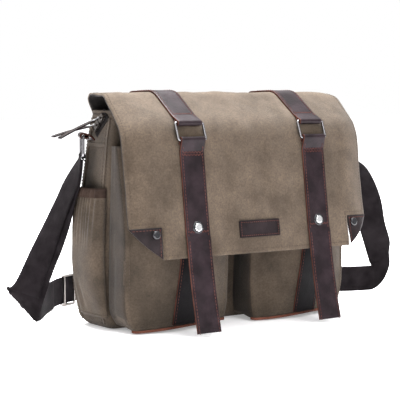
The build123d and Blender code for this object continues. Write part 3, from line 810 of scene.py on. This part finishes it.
for side, word in SIDES:
    origin, across, along, out = side_zip_axes(side)
    surface = origin + out * 1.1
    rows = [[surface + along * up + across * aside for aside in spaced(-9, 9, 8)]
            for up in spaced(-12, 22, 11)]
    placed(sheet_from(f"side_zip_tape_{word}", rows, TAPE_CLOTH, 0.8), "bag", "zip_tape")
    start = surface - along * 11.5
    teeth = teeth_run(f"side_zip_teeth_{word}", start, start + along * 33, across, out)
    placed(teeth, "bag", "zip_metal", f"zip_tape_{word}")


# ------------------------------------------------------------------ front pockets
def pocket_outline(side, z, tuck):
    """Points round a pocket at one level: outer wall, bowed front, inner wall."""
    edge, middle = between(POCKET, z)
    back = between(BODY, z)[1] + 0.6
    corner = POCKET_CORNER
    pull = 14 * (1 - smooth(0, 40, z)) ** 2
    outer = POCKET_OUTER - tuck - (pull if side < 0 else pull * 0.5)
    inner = POCKET_INNER + tuck + pull * 0.25
    edge, middle = edge + tuck, middle + tuck
    points = []
    for index in range(POCKET_WALL_POINTS):
        points.append((outer, back + (edge + corner - back) * index / POCKET_WALL_POINTS, 1, 0))
    for index in range(6):
        angle = radians(90 * index / 5)
        points.append((outer - corner + corner * cos(angle), edge + corner - corner * sin(angle),
                       cos(angle), -sin(angle)))
    for index in range(1, 36):
        share = index / 36
        x = outer - corner + (inner + corner - outer + corner) * share
        bow = 1 - (2 * share - 1) ** 2
        points.append((x, edge + (middle - edge) * bow, 0, -1))
    for index in range(6):
        angle = radians(90 - 90 * index / 5)
        points.append((inner + corner - corner * cos(angle), edge + corner - corner * sin(angle),
                       -cos(angle), -sin(angle)))
    for index in range(1, POCKET_WALL_POINTS + 1):
        points.append((inner, edge + corner + (back - edge - corner) * index / POCKET_WALL_POINTS, -1, 0))
    return points


def pocket_give(side, x, y, z):
    """Soft folds in a pocket's cloth, still under its leather strip."""
    under_strip = smooth(16, 40, abs(x - STRAP_X))
    free = smooth(6, 40, z) * under_strip
    give = free * (2.2 * wave(side * x, y, z * 0.6, 42, 4) + 0.8 * wave(side * x, y, z, 16, 5))
    give += 0.8 * exp(-(z - 5) / 14) * sin(x / 3.1) * under_strip
    return give


def sagged(side, point):
    """A pocket point moved down and forward where the pocket's left end rests on the floor."""
    right_end = -POCKET_INNER if side < 0 else POCKET_OUTER
    leftward = (right_end - point.x) / (POCKET_OUTER - POCKET_INNER)
    sag = smooth(0.3, 1, leftward) * (1 - smooth(5, 60, point.z)) * smooth(-35, -60, point.y)
    return point + Vector((0, -7 * sag, -4.4 * sag))


def on_pocket(side, z, index):
    """A numbered point of a pocket's outline on its cloth, with the way out of it."""
    x, y, nx, ny = pocket_outline(side, z, 0)[index]
    give = pocket_give(side, x, y, z)
    place = sagged(side, Vector((side * (x + nx * give), y + ny * give, z)))
    return place, Vector((side * nx, ny, 0)).normalized()


def pocket_rows(side):
    """Rows of a pocket's cloth, tucked in to a rounded edge at its floor."""
    levels = [(5.3, 7), (5.7, 3.6), (7.2, 1.4), (9.5, 0.2)]
    levels += [(z, 0) for z in spaced(12, 235, 44)]
    rows = []
    for z, tuck in levels:
        row = []
        for x, y, nx, ny in pocket_outline(side, z, tuck):
            give = pocket_give(side, x, y, z) if y < -40 else 0
            row.append(sagged(side, Vector((side * (x + nx * give), y + ny * give, z))))
        rows.append(row)
    return rows


def pocket_cloth(side, word):
    """A pocket's cloth, with painted shade on the two walls that run back to the bag: those walls take a
    darker copy of the body canvas.
    """
    pocket = cloth_bag(f"pocket_cloth_{word}", pocket_rows(side), [BODY_CANVAS, GUSSET_PAINTED_SHADE_CANVAS], flip=side > 0)
    # Walls that face sideways take the darker canvas, as painted shade.
    for polygon in pocket.data.polygons:
        polygon.material_index = int(abs(polygon.normal.x) > 0.85)
    return thicken(pocket, 1.8)


def pocket_stitch_runs(side):
    """Stitch runs along a pocket's foot and up its outer front edge."""
    front = range(POCKET_WALL_POINTS, len(pocket_outline(side, 16, 0)) - POCKET_WALL_POINTS)
    runs = [[on_pocket(side, 16, index) for index in front]]
    for index in (11, 13):
        runs.append([on_pocket(side, z, index) for z in spaced(14, 230, 49)])
    return runs


def pocket_piping(side, word):
    """The leather piping along a pocket's bottom edge."""
    centres, normals = [], []
    for x, y, nx, ny in pocket_outline(side, 7, 1.2)[POCKET_WALL_POINTS + 1:-POCKET_WALL_POINTS - 1]:
        centres.append(sagged(side, Vector((side * (x + nx * 0.9), y + ny * 0.9, 6.6))))
        normals.append(Vector((side * nx, ny, 0)).normalized())
    return path_band(f"pocket_edge_{word}", centres, normals, UP, 1.7, 2.6, PIPING)


def pocket_strip_line(side):
    """The middle line of the leather strip up a pocket, with the way out of it."""
    line = []
    for z in spaced(9.5, 227.5, 59):
        centre = Vector((side * STRAP_X, between(POCKET, z)[1] - 1.4, z))
        line.append((sagged(side, centre), Vector((0, -1, 0))))
    return line


for side, word in SIDES:
    placed(pocket_cloth(side, word), "bag", "body_canvas", f"front_pocket_{word}")
    thread = stitches(f"pocket_stitches_{word}", pocket_stitch_runs(side), BROWN_THREAD)
    placed(thread, "bag", "body_canvas")
    placed(pocket_piping(side, word), "bag", "piping_leather", f"pocket_piping_{word}")
    line = pocket_strip_line(side)
    centres, normals = zip(*line)
    strip = path_band(f"strip_leather_{word}", centres, normals, RIGHT, 17.9, LEATHER, DARK_LEATHER, RAW_EDGE)
    placed(strip, "bag", "dark_leather", f"pocket_strip_{word}")
    runs = edge_runs(shifted(line, Vector((0, -LEATHER / 2, 0))), 14.8)
    placed(stitches(f"strip_stitches_{word}", runs, DARK_THREAD), "bag", "dark_leather")


# ------------------------------------------------------------------ side pockets
def side_pocket_row(side, z, lift, ripple, count=56):
    """A level of the side pocket: from the body, out over the bulge, and back to the body."""
    reach = between(SIDE_POCKET, z)[0]
    body_half = between(BODY, z)[0] + 0.4
    row = []
    for index in range(count + 1):
        share = index / count
        y = SIDE_POCKET_Y[0] + (SIDE_POCKET_Y[1] - SIDE_POCKET_Y[0]) * share
        bulge = (1 - abs(2 * share - 1) ** 5) ** 0.8
        fold = ripple * sin(2 * pi * y / 6.3 + 0.8 * sin(y / 4)) * bulge
        dent = 3.2 * exp(-((y - 22) / 6) ** 2) * (1 - smooth(45, 80, z)) * smooth(18, 35, z)
        soft = 1.2 * wave(0, y, z * 0.7, 22, 6) * bulge
        x = body_half + (reach - body_half) * bulge + fold - dent + soft + lift * bulge
        row.append(Vector((side * x, y, z)))
    return row


for side, word in SIDES:
    rows = [side_pocket_row(side, z, 0, 1.5 * smooth(95, 168, z)) for z in spaced(16.3, MOUTH - 0.3, 48)]
    pocket = sheet_from(f"side_pocket_cloth_{word}", rows, BODY_CANVAS, 1.4, flip=side < 0)
    placed(pocket, "bag", "body_canvas", f"side_pocket_{word}")
    rows = []
    for share in spaced(0, 1, 8):
        z = MOUTH + 0.5 - TRIM_DEPTH * (1 - share)
        rows.append(side_pocket_row(side, z, 1.6 + 0.9 * sin(pi * share), 1.1, 110))
    trim = sheet_from(f"side_trim_{word}", rows, ELASTIC, 1.4, flip=side < 0)
    placed(trim, "bag", "elastic", f"side_pocket_trim_{word}")
    run = [(point + RIGHT * side * 0.3, RIGHT * side) for point in side_pocket_row(side, 20, 0.2, 0)]
    placed(stitches(f"side_pocket_stitches_{word}", [run], BROWN_THREAD), "bag", "body_canvas")


# ------------------------------------------------------------------ flap
FLAP_PATH = filleted(FLAP_POINTS, FLAP_RADII)
FLAP_OUT = path_normals(FLAP_PATH)


def flap_half(y, z):
    """Half the flap's width where its cloth passes y."""
    plan = straight(FLAP_PLAN, y)
    waist = 165 + (plan - 165) * smooth(268, 296, z) if y > 24 else plan
    return waist - 0.6


def flap_droop(x, y, z):
    """How far the flap's side edges hang in towards the bag."""
    edge = max(0, (abs(x) - 150) / 42) ** 2
    depth = 4 + 11 * (1 - smooth(258, 300, z)) - 5 * (1 - smooth(105, 170, z))
    return edge * depth * (1 - smooth(-5, 22, y))


def flap_free(x, y, z):
    """1 where the flap's cloth can ripple, 0 under the straps, snaps and label."""
    free = smooth(0, 26, abs(abs(x) - STRAP_X) - STRAP_WIDTH / 2)
    if y < FRONT_LEG_Y and z < 160:
        free *= smooth(0, 22, max(abs(x) - 34, abs(z - LABEL_Z) - 13))
        free *= smooth(8, 24, sqrt((abs(x) - 159) ** 2 + (z - LABEL_Z) ** 2))
    return free * (1 - smooth(12, 30, y))


def flap_point(x, index, depth):
    """A point on the flap, at a distance out of its cloth's outer face."""
    y, z = FLAP_PATH[index]
    out = FLAP_OUT[index]
    give = 2.1 * wave(x, y * 0.5, z * 0.42, 46, 7) + 0.9 * wave(x, y, z * 0.7, 19, 8)
    give += 1.0 * smooth(200, 100, z) * wave(x, 0, z * 0.2, 30, 9) if z < 200 else 0
    give *= flap_free(x, y, z)
    reach = give - flap_droop(x, y, z) + depth
    return Vector((x, y + out.x * reach, z + out.y * reach))


def flap_normal(index):
    """The way out of the flap's cloth at one point of its path."""
    return Vector((0, FLAP_OUT[index].x, FLAP_OUT[index].y))


def flap_fraction(column):
    """Where a column of the flap's grid lies, from -1 at its left edge to 1 at its right."""
    return -1 + 2 * column / FLAP_COLUMNS


def beside_notch(row, column):
    """Whether a cell of the flap's grid lies outside the two cut corners."""
    z = (FLAP_PATH[row].y + FLAP_PATH[row + 1].y) / 2
    middle = abs(flap_fraction(column + 0.5))
    return FLAP_PATH[row].x >= FRONT_LEG_Y or z >= NOTCH_Z or middle * NOTCH_HALF <= NOTCH_X


def flap_x(column, index):
    """x of a grid column, with one column line set on the notch's side."""
    fraction = flap_fraction(column)
    notch = NOTCH_X / NOTCH_HALF
    if abs(abs(fraction) - notch) < 1 / FLAP_COLUMNS:
        fraction = notch if fraction > 0 else -notch
    return fraction * flap_half(*FLAP_PATH[index])


def flap_sheet(name, depth, thickness, material, trim=0):
    """One cloth layer of the flap, built as a sheet less its two cut corners."""
    rows = []
    for index in range(len(FLAP_PATH) - trim):
        rows.append([flap_point(flap_x(column, index), index, depth) for column in range(FLAP_COLUMNS + 1)])
    piece = sheet_from(name, rows, material, thickness, keep=beside_notch, flip=True)
    return piece


def flap_run(xs, indices):
    """A stitch run over the flap through matching lists of x and path index."""
    return [(flap_point(x, index, 0), flap_normal(index)) for x, index in zip(xs, indices)]


def flap_stitch_runs():
    """Stitch runs down the flap's side edges, round its cut corners and along its hem."""
    hem = len(FLAP_PATH) - 3
    turn = NOTCH_Z + 3.5
    numbered = list(enumerate(FLAP_PATH))
    above = [index for index, point in numbered if point.x < 20 and point.y > turn]
    below = [index for index, point in numbered if point.x < FRONT_LEG_Y and point.y < turn]
    side_line = NOTCH_X - 4
    runs = []
    for side in (-1, 1):
        runs.append(flap_run([side * (flap_half(*FLAP_PATH[index]) - 4.5) for index in above], above))
        runs.append(flap_run([side * side_line] * len(below), below))
        runs.append(flap_run([side * x for x in spaced(side_line, side_line + 38, 12)], [above[-1]] * 13))
    runs.append(flap_run(spaced(-side_line, side_line, 90), [hem] * 91))
    return runs


flap = flap_sheet("flap_cloth", 0, FLAP_CLOTH, FLAP_CANVAS)
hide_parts("flap_panel", "flap_root")
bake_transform(flap)
facing = flap_sheet("flap_facing", -1.75, 0.9, LINING_CLOTH, trim=1)
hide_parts("flap_lining")
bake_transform(facing)
placed(stitches("flap_stitches", flap_stitch_runs(), BROWN_THREAD, 2.8, 1.4, 0.8), "flap", "flap_canvas")


# ------------------------------------------------------------------ leather straps on the flap
def shoulder():
    """Where a ring lies on the flap's shoulder curve, the way out of it and up it, in the YZ plane."""
    before, corner, after = (Vector(point) for point in FLAP_POINTS[2:])
    back, ahead = (before - corner).normalized(), (after - corner).normalized()
    half = back.angle(ahead) / 2
    inward = (back + ahead).normalized()
    radius = FLAP_RADII[2]
    turn = (RING_SHARE - 0.5) * (pi - 2 * half)
    out = Vector((-inward.x * cos(turn) + inward.y * sin(turn), -inward.x * sin(turn) - inward.y * cos(turn)))
    return corner + inward * (radius / sin(half)) + out * radius, out, Vector((out.y, -out.x))


MIDDLE, OUT, UPWARD = shoulder()


def over_bar(up):
    """The strap's centre line round one bar of a flap ring, from its stub to its outer side."""
    bar = MIDDLE + OUT * RING_STANDOFF + UPWARD * (up * BAR)
    line = [bar + UPWARD * (up * 5) - OUT * 4.1]
    for degrees in spaced(-90, 90, 12):
        angle = radians(degrees)
        line.append(bar - UPWARD * (up * STRAP_LOOP * cos(angle)) + OUT * (STRAP_LOOP * sin(angle)))
    return line


def strap_line(up):
    """Centre line of a flap strap in the YZ plane: up is 1 for the upper strap, -1 for the lower."""
    lying = []
    for point, out in zip(FLAP_PATH, FLAP_OUT):
        clear = up * (point - MIDDLE).dot(UPWARD) > BAR + 12
        if clear and (up > 0 or point.y > CROSS_STITCH_Z + 1):
            lying.append(point + out * (SEAM_GAP + LEATHER / 2))
    if up > 0:
        return resampled(lying + list(reversed(over_bar(1))), 1.6)
    lean = radians(TAIL_LEAN)
    hang = Vector((TAIL_HINGE[0] - 0.1, TAIL_HINGE[1]))
    tail = []
    for travel in spaced(0, TAIL_LENGTH, 23):
        curl = 1.6 * sin(pi * travel / TAIL_LENGTH)
        tail.append(hang + Vector((-sin(lean), -cos(lean))) * travel + Vector((curl, 0)))
    return resampled(over_bar(-1) + lying + tail, 1.6)


def strap_band(name, x, up):
    """A flap strap, and the line down the middle of its outer face where it shows."""
    line = strap_line(up)
    centres = [Vector((x, point.x, point.y)) for point in line]
    normals = [Vector((0, normal.x, normal.y)) for normal in path_normals(line)]
    piece = path_band(name, centres, normals, RIGHT, STRAP_WIDTH / 2, LEATHER, STRAP_LEATHER, RAW_EDGE)
    face = [(centre + normal * (LEATHER / 2), normal) for centre, normal in zip(centres, normals)]
    return piece, face[:-LOOP_POINTS] if up > 0 else face[LOOP_POINTS:]


for side, word in SIDES:
    x = side * STRAP_X
    upper, shown = strap_band(f"upper_leather_{word}", x, 1)
    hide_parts(f"upper_strap_{word}", f"strap_root_{word}")
    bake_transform(upper)
    fixed = [(point, normal) for point, normal in shown if point.y < 10]
    runs = edge_runs(fixed) + cross_stitches(fixed, -5)
    placed(stitches(f"upper_stitches_{word}", runs, DARK_THREAD, *STRAP_THREAD), "flap", "strap_leather")

    lower, shown = strap_band(f"lower_leather_{word}", x, -1)
    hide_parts(f"lower_strap_{word}", f"strap_tail_{word}")
    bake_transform(lower)
    fixed = [(point, normal) for point, normal in shown if point.z > CROSS_STITCH_Z + 1.5]
    loose = [(point, normal) for point, normal in shown if point.z < CROSS_STITCH_Z - 5]
    runs = edge_runs(fixed) + cross_stitches(fixed, 5) + cross_stitches(fixed, -3)
    placed(stitches(f"lower_stitches_{word}", runs, DARK_THREAD, *STRAP_THREAD), "flap", "strap_leather")
    thread = stitches(f"tail_stitches_{word}", edge_runs(loose), DARK_THREAD, *STRAP_THREAD)
    placed(thread, f"tail_{word}", "strap_leather")


# ------------------------------------------------------------------ corner tabs, stud seats and label
FRONT_NORMAL = flap_normal(len(FLAP_PATH) - 2)


def on_front(x, z, depth):
    """A point on the flap's front leg at any height."""
    leg = [index for index, point in enumerate(FLAP_PATH) if point.x < FRONT_LEG_Y]
    index = min(leg, key=lambda near: abs(FLAP_PATH[near].y - z))
    (top_y, top_z), (foot_y, foot_z) = FLAP_POINTS[3:]
    slope = (foot_y - top_y) / (foot_z - top_z)
    shift = z - FLAP_PATH[index].y
    return flap_point(x, index, depth) + Vector((0, slope * shift, shift))


def front_run(start, end, steps, depth):
    """A straight stitch run on the flap's front, between two (x, z) places."""
    places = zip(spaced(start[0], end[0], steps), spaced(start[1], end[1], steps))
    return [(on_front(x, z, depth), FRONT_NORMAL) for x, z in places]


def washer(name, centre, inner, outer, height, material):
    """A rounded ring lying on the flap's front, as a closed piece."""
    up_cloth = RIGHT.cross(FRONT_NORMAL).normalized()
    profile = ((inner, 0), (inner, height * 0.7), (inner + 0.5, height), (outer - 0.7, height),
               (outer, height * 0.4), (outer, 0))
    columns, count = len(profile), 40
    points, faces = [], []
    for step in range(count):
        angle = 2 * pi * step / count
        spoke = RIGHT * cos(angle) + up_cloth * sin(angle)
        points += [centre + spoke * radius + FRONT_NORMAL * rise for radius, rise in profile]
        here, after = step * columns, (step + 1) % count * columns
        for k in range(columns):
            faces.append((here + k, here + (k + 1) % columns, after + (k + 1) % columns, after + k))
    piece = mesh_piece(name, points, faces, material)
    recalculate_normals(piece)
    return piece


def corner_tab(side, word):
    """The leather that fills a cut corner of the flap, narrowing to a rounded foot."""
    near = NOTCH_X + 0.4
    rows = []
    for share in spaced(0, 1, 14):
        z = NOTCH_Z - 0.3 - 38.6 * share
        far = 191 - 40.4 * share + 4.5 * sin(pi * share)
        rows.append([on_front(side * x, z, 0.5) for x in spaced(near, far, 12)])
    return sheet_from(f"corner_leather_{word}", rows, TAB_LEATHER, LEATHER, flip=side > 0)


for side, word in SIDES:
    seat = on_front(side * STRAP_X, STUD_Z, SEAM_GAP + LEATHER)
    placed(washer(f"stud_seat_{word}", seat, 5.5, 7.9, 1.1, BLACK_GLOSS), "flap", "snap_black")

for side, word in SIDES:
    placed(corner_tab(side, word), "flap", "strap_leather", f"corner_tab_{word}")
    edge = side * (NOTCH_X + 3)
    runs = [
        front_run((edge, NOTCH_Z - 3), (edge + side * 34, NOTCH_Z - 3), 10, 0.6),
        front_run((edge, NOTCH_Z - 4), (edge, NOTCH_Z - 34), 10, 0.6),
    ]
    placed(stitches(f"corner_stitches_{word}", runs, DARK_THREAD), "flap", "strap_leather")

x, low, high = LABEL_STITCHES
corners = [(-x, low), (x, low), (x, high), (-x, high), (-x, low)]
border = [front_run(start, end, 11, 1.75) for start, end in zip(corners, corners[1:])]
placed(stitches("label_stitches", border, DARK_THREAD, 2.2, 1.0, 0.6), "flap", "strap_leather")


# ------------------------------------------------------------------ side tabs
def ring_bar(side):
    """The level direction of a side ring's bars."""
    turn = radians(RING_TURN)
    return Vector((-side * cos(turn), sin(turn), 0))


def tab_leather(side, word):
    """The tab from the side seam, widening to the ring, round its bar and back."""
    y, z = TAB_AXIS
    bar = ring_bar(side)
    ring = Vector((side * SIDE_RING_X, y, RING_TOP))
    away = bar.cross(UP)
    if away.x * side < 0:
        away = -away
    anchor = Vector((side * 176.6, y, z + 1.5))
    loop, lead = 3.3, 9
    target = ring + UP * loop - away * 2
    centres, widths, outs = [], [], []
    for step in range(lead):
        share = step / lead
        centres.append(anchor.lerp(target, share) + UP * (1.2 * sin(pi * share)))
        spread = smooth(0, 1, share)
        widths.append(Vector((0, 1, 0)).lerp(bar, spread).normalized() * (10 + 7.8 * spread))
    for degrees in spaced(90, -125, 14):
        angle = radians(degrees)
        centres.append(ring + away * (loop * cos(angle)) + UP * (loop * sin(angle)))
        widths.append(bar * 17.8)
    centres.append(ring - away * 8 + UP * -2.2)
    widths.append(bar * 15)
    for index, width in enumerate(widths):
        out = width.cross(heading(centres, index)).normalized()
        outs.append(-out if index and out.dot(outs[-1]) < 0 else out)
    return band(f"side_tab_{word}", centres, widths, outs, LEATHER, TAB_LEATHER, RAW_EDGE)


for side, word in SIDES:
    tab = tab_leather(side, word)
    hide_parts(f"tab_anchor_{word}", f"tab_loop_{word}")
    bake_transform(tab)


# ------------------------------------------------------------------ zip pulls
for name, drop in PULL_DROP.items():
    low, high = (Vector(corner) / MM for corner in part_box(f"pull_leather_{name}"))
    tilt = radians(drop)
    away = Vector((-cos(tilt), 0, -sin(tilt)))
    lift = Vector((-sin(tilt), 0, cos(tilt)))
    start = Vector((high.x - 0.4, (low.y + high.y) / 2, high.z - 1.1))
    reach = (high.x - low.x) / cos(tilt) - 0.8
    centres = [start + away * (reach * share) + lift * (0.7 * sin(pi * share)) for share in spaced(0, 1, 39)]
    normals = [lift] * len(centres)
    pull = path_band(f"pull_strip_{name}", centres, normals, Vector((0, 1, 0)), 4, 2.2, TAB_LEATHER)
    placed(pull, f"pull_{name}", "strap_leather", f"pull_leather_{name}")
    run = [(centre + lift * 1.1, lift) for centre in centres[2:-2]]
    runs = [shifted(run, Vector((0, shift, 0))) for shift in (-2.6, 2.6)]
    thread = stitches(f"pull_stitches_{name}", runs, BROWN_THREAD, 2.4, 1.2, 0.6)
    placed(thread, f"pull_{name}", "strap_leather")


# ------------------------------------------------------------------ shoulder webbing
def curve(values, index, share):
    """A smooth curve through a list of vectors, at a share of one of its spans."""
    a, b = values[max(index - 1, 0)], values[index]
    c, d = values[index + 1], values[min(index + 2, len(values) - 1)]
    return (b * 2 + (c - a) * share + (a * 2 - b * 5 + c * 4 - d) * share * share
            + (b * 3 - a - c * 3 + d) * share**3) * 0.5


def webbing_line(per_span=9):
    """Smooth centre points and half-width vectors along the shoulder strap."""
    centres, widths = [], []
    for place, bearing, rise, width in STATIONS:
        level = cos(radians(rise)) * width / 2
        turn = radians(bearing)
        centres.append(Vector(place))
        widths.append(Vector((level * cos(turn), level * sin(turn), width / 2 * sin(radians(rise)))))
    line = []
    for index in range(len(centres) - 1):
        for step in range(per_span):
            line.append((curve(centres, index, step / per_span), curve(widths, index, step / per_span)))
    line.append((centres[-1], widths[-1]))
    return line


def webbing_sheet(name, line, thickness):
    """Webbing as a thin closed band with a slight crown across its width, and its length."""
    centres = [centre for centre, _ in line]
    rows, uvs = [], []
    length = 0
    for index, (centre, width) in enumerate(line):
        out = heading(centres, index).cross(width).normalized()
        crown = 0.5 * wave(index * 4, 0, 0, 30, 11)
        if index:
            length += (centre - centres[index - 1]).length
        row = []
        for across in spaced(-1, 1, 8):
            point = centre + width * across + out * (crown * (1 - across**2))
            point.z = max(point.z, 0.3)
            row.append(point)
            uvs.append((length * MM, across * WEBBING / 2 * MM))
        rows.append(row)
    piece = sheet_from(name, rows, WEBBING_CLOTH, 0, uvs=uvs)
    return thicken(piece, thickness, offset=0), length


def second_layer(line):
    """The strap's second layer, from the left ring back down to the adjuster, fanned out below."""
    layer = []
    for index, (centre, width) in enumerate(line[:SECOND_LAYER_POINTS]):
        fan = smooth(6, 30, index) * (1 - smooth(44, 60, index))
        along = line[index + 1][0] - line[max(index - 1, 0)][0]
        out = along.cross(width).normalized()
        if index < 50 and out.x > 0:
            out = -out
        layer.append((centre + out * (2.3 + 1.5 * fan) + width.normalized() * (9 * fan), width))
    return layer


def ring_turn(side):
    """The turn of webbing through a side ring."""
    bar = ring_bar(side)
    away = bar.cross(UP)
    ring = Vector((side * SIDE_RING_X, TAB_AXIS[0], RING_BOTTOM))
    turn = [(ring + away * 3.1 - UP * 6, bar * 18.8)]
    for degrees in spaced(-100, 204, 18):
        angle = radians(degrees)
        turn.append((ring + away * (3.1 * cos(angle)) + UP * (3.1 * sin(angle)), bar * 18.6))
    turn.append((ring - away * 3.1 - UP * 7, bar * 18.8))
    return turn


LINE = webbing_line()
strap, strap_length = webbing_sheet("shoulder_webbing", LINE, 1.7)
placed(strap, "shoulder_strap", "webbing", "webbing_left", "webbing_rear", "webbing_right")
layer, layer_length = webbing_sheet("shoulder_webbing_second", second_layer(LINE), 1.6)
placed(layer, "shoulder_strap", "webbing")
for side, word in SIDES:
    loop, _ = webbing_sheet(f"ring_webbing_{word}", ring_turn(side), 1.6)
    placed(loop, "shoulder_strap", "webbing")


# ------------------------------------------------------------------ finishes of the CAD pieces that stay
CAD_FINISHES = {
    "base_board": BOARD,
    "label_patch": TAB_LEATHER,
    "snap_studs": NICKEL,
    "snap_sockets": NICKEL,
    "snap_posts": NICKEL,
    "corner_snaps": BLACK_GLOSS,
    "flap_ring_left": GUNMETAL,
    "flap_ring_right": GUNMETAL,
    "side_ring_left": GUNMETAL,
    "side_ring_right": GUNMETAL,
    "slider_upper": DARK_NICKEL,
    "slider_lower": DARK_NICKEL,
    "pull_link_upper": NICKEL,
    "pull_link_lower": NICKEL,
    "strap_adjuster": DARK_NICKEL,
}
for name, material in CAD_FINISHES.items():
    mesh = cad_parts[name].data
    mesh.materials.clear()
    mesh.materials.append(material)


# ------------------------------------------------------------------ camera, light and floor, in metres
scene = bpy.context.scene
lens = bpy.data.cameras.new("camera")
lens.lens = 126
lens.sensor_width = 36
lens.clip_end = 50
camera = bpy.data.objects.new("camera", lens)
camera.location = (-1.092, -1.531, 0.302)
camera.rotation_euler = (radians(90 - 4.39), 0, radians(-35))
scene.collection.objects.link(camera)
scene.camera = camera
scene.view_settings.view_transform = "Standard"


def studio_walls(world):
    """White behind the bag; as a light, dim at eye level and bright overhead, like a softbox studio."""
    tree = world.node_tree
    way = tree.nodes.new("ShaderNodeTexCoord")
    height = tree.nodes.new("ShaderNodeSeparateXYZ")
    glow = tree.nodes.new("ShaderNodeMapRange")
    seen = tree.nodes.new("ShaderNodeLightPath")
    pick = tree.nodes.new("ShaderNodeMix")
    background = tree.nodes["Background"]
    background.inputs["Color"].default_value = (1, 1, 1, 1)
    glow.inputs["To Min"].default_value = WALL_GLOW
    glow.inputs["To Max"].default_value = CEILING_GLOW
    pick.inputs["B"].default_value = 1.0
    tree.links.new(way.outputs["Generated"], height.inputs["Vector"])
    tree.links.new(height.outputs["Z"], glow.inputs["Value"])
    tree.links.new(seen.outputs["Is Camera Ray"], pick.inputs["Factor"])
    tree.links.new(glow.outputs["Result"], pick.inputs["A"])
    tree.links.new(pick.outputs["Result"], background.inputs["Strength"])


def soft_light(name, place, target, size, power):
    """A rectangular softbox at a place, facing a target."""
    lamp = bpy.data.lights.new(name, "AREA")
    lamp.shape = "RECTANGLE"
    lamp.size, lamp.size_y = size
    lamp.energy = power
    holder = bpy.data.objects.new(name, lamp)
    holder.location = place
    holder.rotation_euler = (Vector(target) - Vector(place)).to_track_quat("-Z", "Y").to_euler()
    scene.collection.objects.link(holder)


scene.world = bpy.data.worlds.new("studio")
scene.world.use_nodes = True
studio_walls(scene.world)
soft_light("key", (0.25, -2.1, 1.25), (0, 0, 0.12), (1.4, 1.0), 32)
soft_light("top", (0, 0.5, 2.2), (0, 0, 0.2), (1.6, 1.2), 290)
soft_light("edge", (-1.8, 0.3, 0.9), (0, 0, 0.15), (0.8, 1.2), 5)

floor_mesh = bpy.data.meshes.new("floor")
floor_mesh.from_pydata([(-12, -12, 0), (12, -12, 0), (12, 12, 0), (-12, 12, 0)], [], [(0, 1, 2, 3)])
floor = bpy.data.objects.new("floor", floor_mesh)
FLOOR = new_material("floor", (0.9, 0.89, 0.905), 1.0)
shader_of(FLOOR).inputs["Emission Color"].default_value = (1, 1, 1, 1)
shader_of(FLOOR).inputs["Emission Strength"].default_value = 0.3
floor_mesh.materials.append(FLOOR)
floor.location.z = -0.0005
scene.collection.objects.link(floor)
